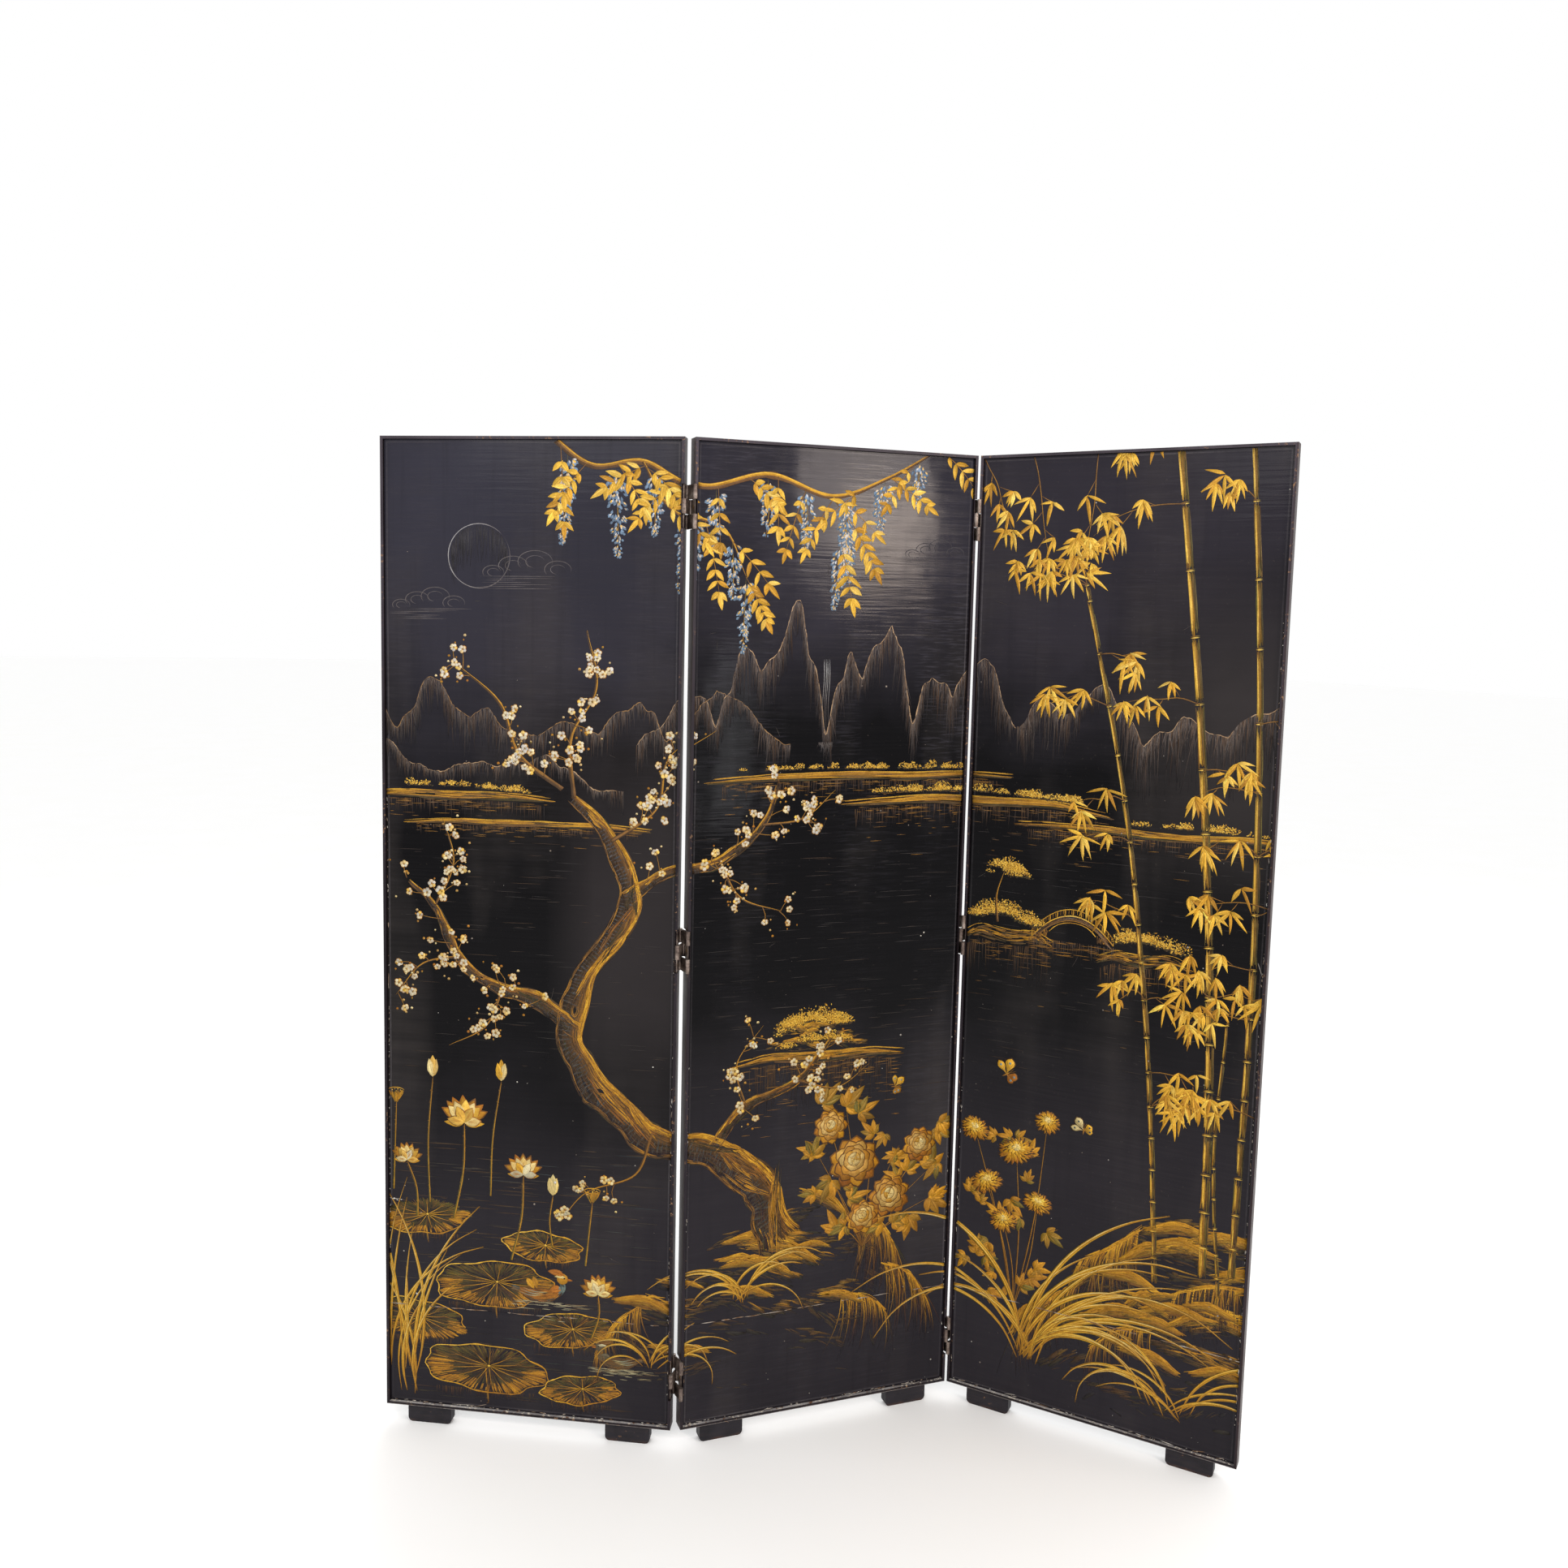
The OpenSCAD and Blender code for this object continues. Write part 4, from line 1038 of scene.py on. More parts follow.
def blossoms(s, centres, size, layer=0, tint=(CREAM, PALE, GOLD_HI)):
    """five-petalled flowers, each at its own tilt"""
    rng = s.rng
    centres = np.atleast_2d(centres)
    m = len(centres)
    r = np.broadcast_to(np.asarray(size, float), m) / 2
    turn, sq, dirn = rng.uniform(0, 72, m), rng.uniform(0.55, 1.0, m), rng.uniform(0, np.pi, m)
    for j in range(5):
        a = np.radians(turn + 72 * j)
        x, y = np.cos(a) * r * 0.58, np.sin(a) * r * 0.58
        x, y = x * np.cos(dirn) + y * np.sin(dirn), (-x * np.sin(dirn) + y * np.cos(dirn)) * sq
        c = centres + np.stack([x * np.cos(dirn) - y * np.sin(dirn), x * np.sin(dirn) + y * np.cos(dirn)], 1)
        s.spots(c, r * rng.uniform(0.42, 0.52, m), [OCHRE, AMBER], layer, n=7)
        s.spots(c, r * rng.uniform(0.34, 0.44, m), tint, layer + 1 + j % 2, n=7)
    for j in range(7):
        a = rng.uniform(0, 360, m)
        s.leaves(centres, a, r * rng.uniform(0.3, 0.62, m), 0.5, [AMBER, BROWN], layer=layer + 3, n=3, shine=0)
    s.spots(centres, r * 0.16, [OLIVE, OCHRE], layer + 4, n=5)


def plum_sprays(s, pts, layer, count, size=(13, 18), twigs=True, reach=46):
    """flowers, buds and short spurs on a branch"""
    rng = s.rng
    t = np.sort(rng.uniform(0.12, 1.0, count))
    p, a = along(pts, t)
    side = rng.choice([-1, 1], count)
    ang = a + side * rng.uniform(25, 80, count)
    ln = rng.uniform(0.25, 1.0, count) * reach
    tips = p + np.stack([np.cos(np.radians(ang)), np.sin(np.radians(ang))], 1) * ln[:, None]
    if twigs:
        for q, z, aa in zip(p, tips, ang):
            m = (q + z) / 2 + rng.normal(0, 2.5, 2)
            twig(s, [q, m, z], 1.7, layer)
    blossoms(s, tips, rng.uniform(*size, count), layer + 3)
    near = p + rng.normal(0, 7, (count, 2))
    pickd = rng.random(count) < 0.6
    blossoms(s, near[pickd], rng.uniform(*size, pickd.sum()), layer + 3)
    b = np.repeat(tips, 3, 0) + rng.normal(0, reach * 0.26, (3 * count, 2))
    s.spots(b, rng.uniform(1.3, 2.6, len(b)), [CREAM, OCHRE, AMBER], layer + 4, n=6)
    s.spots(b - [0, 1.6], rng.uniform(0.8, 1.2, len(b)), [BROWN, OLIVE], layer + 5, n=5)


def cane(s, pts, width, layer=0, tone=1.0, first=60, grow=1.06, most=125, side=1):
    """a bamboo cane; returns its joints and their directions"""
    rng = s.rng
    p = spline(pts, 300)
    length = np.hypot(*np.diff(p, axis=0).T).sum()
    cuts, step, at = [0.0], first, 0.0
    while at + step < length:
        at += step
        cuts.append(at)
        step = min(step * grow, most) * rng.uniform(0.93, 1.07)
    cuts.append(length)
    joints = []
    for a, b in zip(cuts[:-1], cuts[1:]):
        ta, tb = (a + 1.5) / length, (b - 1.5) / length
        if tb <= ta:
            continue
        seg, ang = along(p[::10] if len(p) > 300 else p, np.linspace(ta, tb, 6))
        w = width * np.array([1.12, 0.95, 0.9, 0.9, 0.95, 1.12]) * (1 - 0.25 * a / length)
        m = int(max(6, (b - a) / 100 * width * 1.7))
        s.brush(seg, w, m, [UMBER, OLIVE, BROWN], layer, dash=(0.5, 0.9), bw=2.8, ragged=0.0)
        s.brush(seg, w * 0.94, int(m * 1.6), [BROWN, OCHRE, GOLD_DEEP], layer + 1, dash=(0.3, 0.8), bw=1.5, shade=(MOSS, -side), ragged=0.0, alpha=tone)
        s.brush(seg + normals(seg) * (side * width * 0.24), w * 0.28, int(m * 0.5), [GOLD, GOLD_HI], layer + 2, dash=(0.3, 0.8), bw=1.1, ragged=0.0, alpha=tone)
        nn = normals(seg)[-1]
        ww = w[-1] * 0.58
        s.line([seg[-1] - nn * ww, seg[-1] + nn * ww * 0.2, seg[-1] + nn * ww], 2.2, [OLIVE, GOLD_HI, GOLD], layer + 3, n=5)
        s.line([seg[-1] - nn * ww + [0, 2.6], seg[-1] + nn * ww + [0, 2.6]], 1.3, [OLIVE, OCHRE], layer + 3, n=4)
        joints.append((seg[-1], ang[-1]))
    return joints


def leaf_spray(s, at, angle, count, length, width, layer=0, fan=110, colours=LEAF, droop=0.12, stem=True, jitter=6):
    """a fan of pointed leaves from one point, hanging towards angle"""
    rng = s.rng
    a = angle + np.linspace(-fan / 2, fan / 2, count) + rng.normal(0, jitter, count)
    k = 1 - 0.35 * np.abs(np.linspace(-1, 1, count)) ** 1.5
    ln = length * k * rng.uniform(0.8, 1.12, count)
    b = np.asarray(at, float) + rng.normal(0, 0.8, (count, 2))
    bend = np.where(np.cos(np.radians(a)) > 0, -1, 1) * droop * rng.uniform(0.2, 1.4, count)
    s.leaves(b, a, ln, width * rng.uniform(0.75, 1.15, count), colours, bend=bend, layer=layer, n=6, tip=0.72)


def bamboo_branch(s, start, angle, length, layer=0, sprays=5, leaf=(34, 52), lw=7.0, droop=0.35):
    """a thin drooping branch with leaf sprays"""
    rng = s.rng
    a = math.radians(angle)
    d = np.array([math.cos(a), math.sin(a)])
    p = [np.asarray(start, float)]
    for i in range(1, 5):
        f = i / 4
        p.append(p[0] + d * length * f + np.array([0, -1]) * length * droop * f**2 + rng.normal(0, 3, 2))
    twig(s, p, 2.1, layer, taper=(0.0, 0.8))
    t = np.linspace(0.3, 1.0, sprays)
    q, ang = along(p, np.clip(t + rng.normal(0, 0.03, sprays), 0, 1))
    for i, (c, aa) in enumerate(zip(q, ang)):
        side = 1 if i % 2 else -1
        sub = aa + side * rng.uniform(25, 55)
        ln = rng.uniform(10, 34) * (1 if i < sprays - 1 else 0.2)
        tip = c + ln * np.array([math.cos(math.radians(sub)), math.sin(math.radians(sub))])
        s.line([c, (c + tip) / 2 + [0, -1], tip], 1.2, [BROWN, OCHRE], layer, n=5)
        leaf_spray(s, tip, -90 + 0.35 * (aa if abs(aa) < 90 else (aa - 180 if aa > 0 else aa + 180)) + rng.normal(0, 14), int(rng.integers(3, 7)), rng.uniform(*leaf), lw, layer + 1, fan=rng.uniform(80, 150))


def raceme(s, top, length, width, layer=0, lean=0.0, tint=(BLUE, PALE, GOLD)):
    """a hanging flower cluster: crowded touches, narrowing to buds"""
    rng = s.rng
    end = np.asarray(top, float) + [lean * length, -length]
    mid = (np.asarray(top) + end) / 2 + [rng.normal(0, 3), 0]
    s.line([top, mid, end], 1.4, [OLIVE, OCHRE], layer)
    m = int(length * 0.85)
    t = rng.uniform(0.04, 1.0, m) ** 0.85
    p, _ = along([top, mid, end], t)
    w = width * (1 - t) ** 0.55 * (1 - np.exp(-t * 14))
    x = rng.uniform(-1, 1, m)
    p = p + np.stack([x * w / 2, -np.abs(x) * 2], 1)
    s.leaves(p, -90 + x * 55 + rng.normal(0, 14, m), 5 + 6 * (1 - t), 3.2 + 3.2 * (1 - t), [lerp(tint[0], DARK, 0.45), tint[0]], layer=layer + 1, n=5, tip=1.3, shine=0)
    keep = rng.random(m) < 0.62
    p2 = p[keep] + [0.8, 0.9]
    s.leaves(p2, -90 + x[keep] * 55 + rng.normal(0, 14, keep.sum()), 3.5 + 4 * (1 - t[keep]), 1.8 + 1.8 * (1 - t[keep]), tint[1:], layer=layer + 2, n=5, tip=1.3, shine=0)


def pinnate(s, start, angle, length, layer=0, pairs=5, leaf=26, lw=9, droop=0.3):
    """a leaf stalk with pointed leaflets in pairs"""
    rng = s.rng
    a = math.radians(angle)
    p = [np.asarray(start, float) + np.array([math.cos(a), math.sin(a)]) * length * f + [0, -length * droop * f * f] for f in (0, 0.35, 0.7, 1.0)]
    s.line(p, 1.3, [BROWN, OCHRE], layer, taper=(0, 0.5))
    t = np.linspace(0.22, 0.97, pairs)
    q, ang = along(p, t)
    for side in (-1, 1):
        k = 1 - 0.25 * np.abs(np.linspace(-1, 1, pairs))
        s.leaves(q, ang + side * rng.uniform(38, 62, pairs) - 6, leaf * k * rng.uniform(0.85, 1.1, pairs), lw * rng.uniform(0.8, 1.1, pairs), LEAF, bend=-0.1 * side, layer=layer + 1, n=7)
    s.leaves(q[-1:], ang[-1], leaf * 1.1, lw, LEAF, layer=layer + 1, n=7)


def lotus_leaf(s, c, rx, ry, layer=0, turn=0.0, fold=0.0):
    """a round leaf seen from a low angle: rays from a heart, lit rim, raised veins"""
    rng = s.rng
    k = math.radians(turn)
    heart = np.array([c[0] + rx * 0.06, c[1] + ry * 0.12])
    m = int(rx * 3.0)
    a = rng.uniform(0, 2 * np.pi, m)
    wob = 1 + 0.05 * np.sin(5 * a + rng.uniform(0, 6)) + 0.04 * np.sin(9 * a + rng.uniform(0, 6))
    ex = c[0] + (rx * np.cos(a) * math.cos(k) - ry * np.sin(a) * math.sin(k)) * wob
    ey = c[1] + (rx * np.cos(a) * math.sin(k) + ry * np.sin(a) * math.cos(k)) * wob
    edge = np.stack([ex, ey], 1)

    def rays(t0, t1, bw, colours, lay, idx, fadein=0.0):
        n = 4
        q = np.linspace(0, 1, n)[None, :, None]
        p0 = heart + (edge[idx] - heart) * t0[:, None]
        p1 = heart + (edge[idx] - heart) * t1[:, None]
        pos = p0[:, None] + (p1 - p0)[:, None] * q
        nn = normals(pos)
        half = np.maximum((bw / 2 * rng.uniform(0.5, 1.3, len(idx)))[:, None] * np.sin(np.pi * np.linspace(0.12, 0.9, n))[None] ** 0.5, 0.1)
        cc = pick(rng, colours, len(idx))[:, None] * np.ones((1, n, 1))
        if fadein:
            cc = A(DARK) + (cc - A(DARK)) * (0.35 + 0.65 * np.linspace(0, 1, n)[None, :, None])
        s.strips(pos + nn * half[..., None], pos - nn * half[..., None], cc, lay)

    al = np.arange(m)
    rays(rng.uniform(0.0, 0.4, m), rng.uniform(0.75, 1.0, m), 4.6, [MOSS, UMBER, DARK], layer, al)
    rays(rng.uniform(0.25, 0.7, m), rng.uniform(0.8, 1.0, m), 2.1, [MOSS, OLIVE, BROWN], layer + 1, al, 0.5)
    low = al[np.sin(a) < 0.35 * rng.random(m)]
    rays(rng.uniform(0.55, 0.86, len(low)), rng.uniform(0.9, 1.0, len(low)), 2.0, [BROWN, OCHRE, GOLD_DEEP], layer + 2, low)
    o = np.argsort(a)
    rim = edge[o][:: max(1, m // 60)]
    rim = np.vstack([rim, rim[:1]])
    s.line(spline(rim, 70), 1.9, [GOLD_DEEP, GOLD, GOLD_HI, GOLD, OCHRE, GOLD_DEEP], layer + 3, raw=True, taper=(0, 0), wobble=0.3)
    for j in range(13):
        b = 2 * np.pi * j / 13 + rng.normal(0, 0.06)
        e = np.array([c[0] + rx * 0.93 * math.cos(b) * math.cos(k) - ry * 0.93 * math.sin(b) * math.sin(k), c[1] + rx * 0.93 * math.cos(b) * math.sin(k) + ry * 0.93 * math.sin(b) * math.cos(k)])
        s.line([heart, (heart + e) / 2 + [0, -ry * 0.05], e], 1.1, [GOLD, OCHRE, BROWN], layer + 3, n=6, taper=(0.1, 0.6))
        f = heart + (e - heart) * 0.6
        for dd in (-1, 1):
            g = e + np.array([-(e - heart)[1], (e - heart)[0]]) * 0.13 * dd
            s.line([f, g], 0.7, [OCHRE, BROWN], layer + 3, n=4, taper=(0.1, 0.6))
    s.spots(heart[None], 2.0, [GOLD_HI], layer + 4)


def lotus_flower(s, c, r, layer=0, opened=1.0):
    """an open or half-open lotus"""
    rng = s.rng
    c = np.asarray(c, float)

    def ring_of(count, a0, a1, ln, wd, lay, cols, base):
        a = np.linspace(a0, a1, count) + rng.normal(0, 3, count)
        s.leaves(c + base, a, ln * (1.06 if lay == layer else 1.0), wd * 1.16, [AMBER, BROWN], layer=lay, n=9, tip=1.0, shine=0)
        s.leaves(c + base, a, ln * rng.uniform(0.93, 1.0, count), wd, cols, layer=lay + 1, n=9, tip=1.0, shine=0)
        for j in range(count):
            for dd in (-9, -4, 0, 4, 9):
                aa = math.radians(a[j] + dd * 0.9)
                e = c + base + ln * 0.8 * np.array([math.cos(aa), math.sin(aa)])
                s.line([c + base + (e - c - base) * 0.25, e], 0.55, [AMBER, OCHRE], lay + 1, n=4)

    ring_of(7, 20, 160, r, r * 0.36, layer, [OCHRE, GOLD_DEEP], np.array([0, 0]))
    ring_of(5, 42, 138, r * 0.92, r * 0.42, layer + 2, [GOLD, CREAM], np.array([0, -r * 0.04]))
    if opened > 0.5:
        s.leaves(np.repeat((c + [0, -r * 0.05])[None], 2, 0), [196, -16], [r * 0.8, r * 0.8], r * 0.3, [GOLD_DEEP, GOLD], bend=[-0.25, 0.25], layer=layer + 2, n=8)
    ring_of(4, 8, 172, r * 0.72, r * 0.36, layer + 4, [GOLD, CREAM, PALE], np.array([0, -r * 0.08]))


def stalk(s, pts, width, layer=0):
    s.line(pts, width, [OLIVE, UMBER], layer, taper=(0, 0.1))
    s.line(np.asarray(pts, float) + [width * 0.2, 0], width * 0.35, [GOLD_DEEP, OCHRE], layer + 1, taper=(0, 0.1))
    m = int(np.hypot(*np.diff(spline(pts, 20), axis=0).T).sum() / 9)
    p, a = along(pts, s.rng.uniform(0, 1, m))
    s.leaves(p, a + 90 * s.rng.choice([-1, 1], m), width * 0.8, 0.6, [OCHRE, BROWN], layer=layer + 1, n=3, shine=0)


def blade(s, pts, width, layer=0, colours=(OCHRE, GOLD_DEEP, GOLD, GOLD_DEEP, OCHRE), dark=True):
    """a long arching leaf with a lit side"""
    p = spline(pts, 26)
    n = normals(p)
    if dark:
        s.line(p, width * 1.15, [UMBER, OLIVE, UMBER], layer, raw=True, taper=(0.25, 0.5), wobble=0.04)
    s.line(p, width * 0.86, list(colours), layer + 1, raw=True, taper=(0.25, 0.5), wobble=0.05)
    s.line(p + n * width * 0.17, width * 0.2, [GOLD_DEEP, GOLD_HI, CREAM, GOLD], layer + 2, raw=True, taper=(0.3, 0.5), wobble=0.2)
    s.line(p - n * width * 0.1, width * 0.08, [OLIVE, BROWN, OLIVE], layer + 2, raw=True, taper=(0.2, 0.3))


def arch(root, length, lean, bend, k=6):
    """points of an arc that leaves the root upwards and falls over"""
    a = math.radians(lean)
    p, out = np.asarray(root, float).copy(), []
    for i in range(k + 1):
        out.append(p.copy())
        p = p + length / k * np.array([math.cos(a), math.sin(a)])
        a += math.radians(bend) / k
    return np.array(out)


def mums(s, c, r, layer=0, tilt=0.8, turn=0.0):
    """a chrysanthemum head"""
    rng = s.rng
    c = np.asarray(c, float)
    k = math.radians(turn)
    for j, (rad, inner, cnt, cols) in enumerate([(1.0, 0.16, 26, [AMBER, OCHRE]), (0.9, 0.14, 24, [OCHRE, GOLD_DEEP]), (0.72, 0.1, 20, [GOLD_DEEP, GOLD]), (0.5, 0.05, 14, [GOLD, GOLD_HI]), (0.28, 0.0, 9, [GOLD_HI, CREAM])]):
        a = np.linspace(0, 2 * np.pi, cnt, endpoint=False) + rng.normal(0, 0.09, cnt)
        d = np.stack([np.cos(a), np.sin(a) * tilt], 1)
        d = np.stack([d[:, 0] * math.cos(k) - d[:, 1] * math.sin(k), d[:, 0] * math.sin(k) + d[:, 1] * math.cos(k)], 1)
        up = np.array([0, r * (0.05 + 0.05 * j)])
        b = c + up + d * r * inner
        ln = r * (rad - inner) * np.hypot(d[:, 0], d[:, 1]) * rng.uniform(0.86, 1.08, cnt)
        s.leaves(b, np.degrees(np.arctan2(d[:, 1], d[:, 0])), ln, r * 0.2, [UMBER], layer=layer + j, n=6, tip=1.2, shine=0)
        s.leaves(b, np.degrees(np.arctan2(d[:, 1], d[:, 0])), ln * 0.95, r * 0.145, cols, bend=0.1, layer=layer + j + 1, n=6, tip=1.25, shine=0)


def lobed_leaves(s, centres, angle, size, layer=0):
    """chrysanthemum and peony leaves: three to five pointed lobes"""
    for c, a in zip(np.atleast_2d(centres), np.atleast_1d(angle)):
        k = s.rng.uniform(0.8, 1.2) * size
        s.leaves(np.repeat(c[None], 5, 0), a + np.array([-70, -36, 0, 36, 70]) + s.rng.normal(0, 5, 5), k * np.array([0.6, 0.85, 1.1, 0.85, 0.6]), k * 0.36, [OLIVE, OCHRE, GOLD_DEEP], layer=layer, n=6, shine=0.6)
        for d in (-70, -36, 0, 36, 70):
            e = c + k * 0.7 * np.array([math.cos(math.radians(a + d)), math.sin(math.radians(a + d))])
            s.line([c, e], 0.6, [GOLD, OCHRE], layer + 2, n=4)


def peony(s, c, r, layer=0, tint=(AMBER, GOLD_DEEP, CREAM)):
    """a full ruffled bloom"""
    rng = s.rng
    c = np.asarray(c, float)
    for j, (rad, cnt, k) in enumerate([(1.0, 9, 0.55), (0.84, 8, 0.52), (0.64, 7, 0.5), (0.44, 6, 0.44), (0.26, 4, 0.34)]):
        a = np.linspace(0, 360, cnt, endpoint=False) + rng.uniform(0, 40) + rng.normal(0, 6, cnt)
        d = np.stack([np.cos(np.radians(a)), 0.82 * np.sin(np.radians(a))], 1)
        base = c + [0, r * 0.03 * j] + d * r * rad * 0.1
        ln = r * rad * 0.9
        col = [lerp(tint[0], tint[1], j / 4), lerp(tint[1], tint[2], j / 4)]
        s.leaves(base, a, ln * 1.07, r * k * 1.12, [lerp(UMBER, AMBER, 0.25)], layer=layer + 2 * j, n=8, tip=1.7, shine=0)
        s.leaves(base, a, ln, r * k, col, layer=layer + 2 * j + 1, n=8, tip=1.7, shine=0)
        for aa in a:
            for dd in (-16, -8, 0, 8, 16):
                t = math.radians(aa + dd)
                e = base.mean(0) + np.array([math.cos(t), 0.82 * math.sin(t)]) * ln * 0.96
                f = base.mean(0) + np.array([math.cos(t), 0.82 * math.sin(t)]) * ln * 0.45
                s.line([f, e], 0.7, [lerp(tint[0], UMBER, 0.5), col[1]], layer + 2 * j + 1, n=4)
    s.spots(c + rng.normal(0, r * 0.07, (14, 2)), 0.9, [GOLD_HI, CREAM], layer + 11, n=5)


def bushes(s, line, rows, size, m, layer=0, colours=(OLIVE, OCHRE, GOLD, GOLD_HI), lift=1.0):
    """stippled foliage standing on a line"""
    rng = s.rng
    for _ in range(rows):
        t = rng.uniform(0, 1)
        p, _a = along(line, t)
        w = rng.uniform(0.5, 1.3) * size
        h = w * rng.uniform(0.6, 1.1) * lift
        k = int(0.5 * m * (w / size) ** 2)
        a = rng.uniform(0, np.pi, k)
        rr = rng.uniform(0, 1, k) ** 0.6
        q = p + np.stack([np.cos(a) * rr * w, np.sin(a) * rr * h], 1)
        s.leaves(q, rng.uniform(0, 180, k), rng.uniform(2.4, 5.4, k), rng.uniform(1.6, 3.0, k), [MOSS, UMBER], layer=layer, n=3, shine=0)
        hi = rr * np.sin(a) > 0.15
        lit = q[hi] + [0.5, 0.8]
        s.leaves(lit, rng.uniform(0, 180, hi.sum()), rng.uniform(2.0, 4.4, hi.sum()), rng.uniform(1.3, 2.4, hi.sum()), list(colours[1:]), layer=layer + 1, n=3, shine=0)


def shore(s, u0, u1, v, depth, layer=0, tone=1.0, water=1.0):
    """a low bank with streaks along it and its reflection below"""
    rng = s.rng
    x = np.linspace(u0, u1, 7)
    y = v + rng.normal(0, 1.6, 7)
    y[0] -= depth * 0.35
    y[-1] -= depth * 0.35
    line = np.stack([x, y], 1)
    ln = u1 - u0
    under = np.array([0, -depth * 0.5])
    prof = [depth * 0.1, depth * 0.8, depth, depth * 0.8, depth * 0.1]
    s.brush(line + under, prof, int(ln * 0.32), [UMBER, MOSS, BROWN], layer, dash=(0.08, 0.25), bw=2.2)
    s.brush(line + under * 0.7, np.array(prof) * 0.7, int(ln * 0.30 * tone), [BROWN, OCHRE, GOLD_DEEP], layer + 1, dash=(0.05, 0.2), bw=1.3)
    s.brush(line, 2.0, int(ln * 0.12 * tone), [OCHRE, GOLD], layer + 2, dash=(0.04, 0.16), bw=0.9)
    if water:
        low = line + [0, -depth]
        falls(s, low, -90, depth * 2.2 * water, int(ln * 0.5), [UMBER, lerp(UMBER, BROWN, 0.5), lerp(DARK, MIST, 0.6)], layer, 0, 1.3, 2, 0.2, n=3, power=0.9)
        k = int(ln * 0.25 * water)
        p = np.stack([rng.uniform(u0, u1, k), v - depth - rng.exponential(depth * 0.9 * water, k)], 1)
        s.leaves(p, rng.normal(0, 1.5, k), rng.uniform(6, 30, k), 0.7, [BROWN, OCHRE, MIST], layer=layer + 1, n=3, shine=0)


def peaks(s, ridge, layer=0, haze=90, tone=1.0, line=(lerp(OCHRE, PALE, 0.30), lerp(BROWN, GREY, 0.3))):
    """a mountain ridge: fine bright outline and upright hatching that dies into mist"""
    rng = s.rng
    p = np.asarray(ridge, float)
    ln = np.hypot(*np.diff(spline(p, 60), axis=0).T).sum()
    n = int(ln / 4)
    dense = spline(p, n)
    rough = np.interp(np.arange(n), np.arange(0, n + 5, 5), rng.normal(0, 3.0, len(np.arange(0, n + 5, 5))))
    dense[:, 1] += rough + rng.normal(0, 0.7, n)
    g = np.gradient(dense[:, 1])
    depth = haze * (0.75 + 0.35 * np.interp(np.arange(n), np.arange(0, n + 9, 9), rng.uniform(-1, 1, len(np.arange(0, n + 9, 9)))))
    falls(s, dense[::2], -90, depth[::4], int(ln * 0.62), [lerp(DARK, GREY, 0.42), lerp(UMBER, GREY, 0.45), lerp(DARK, BROWN, 0.55)], layer, 0, 2.0, 3, 0.2, n=4, power=0.8)
    falls(s, dense[::2], (-86, -94), depth[::4] * 0.52, int(ln * 0.56 * tone), [lerp(BROWN, GREY, 0.35), GREY, lerp(BROWN, GREY, 0.7)], layer + 1, 0, 1.1, 7, 0.1, n=4, power=1.0)
    i = 0
    while i < n - 6:
        k = int(rng.integers(5, 13))
        if rng.random() < 0.92:
            s.line(dense[i : i + k], rng.uniform(0.7, 1.5), [line[0], lerp(line[0], line[1], rng.random())], layer + 3, raw=True, taper=(0.1, 0.1), wobble=0.3)
        i += k - 1


def karst(tops, base, n=9):
    """the outline of steep peaks with shoulders: tops are (u, v, half width)"""
    u = np.arange(tops[0][0] - tops[0][2] * 1.6, tops[-1][0] + tops[-1][2] * 1.6, 5.0)
    v = np.full(len(u), float(base))
    for j, (c, h, w) in enumerate(tops):
        k = 0.72 if j % 2 else 1.3
        x = np.where(u < c, (c - u) / (w * k), (u - c) / (w * (2 - k)))
        body = np.clip(1 - (x / 1.5) ** 1.25, 0, 1)
        step = 0.10 * np.sin(x * 7.0 + j) * np.clip(x * 2.5, 0, 1) * body
        v = np.maximum(v, base + (h - base) * np.clip(body + step, 0, 1) ** 1.15)
    return np.stack([u, v], 1)


def streaks(s, box, m, colours, layer=0, length=(8, 40), bw=0.8):
    rng = s.rng
    p = np.stack([rng.uniform(box[0], box[2], m), rng.uniform(box[1], box[3], m)], 1)
    s.leaves(p, rng.normal(0, 0.8, m), rng.uniform(*length, m), bw, colours, layer=layer, n=4, shine=0)


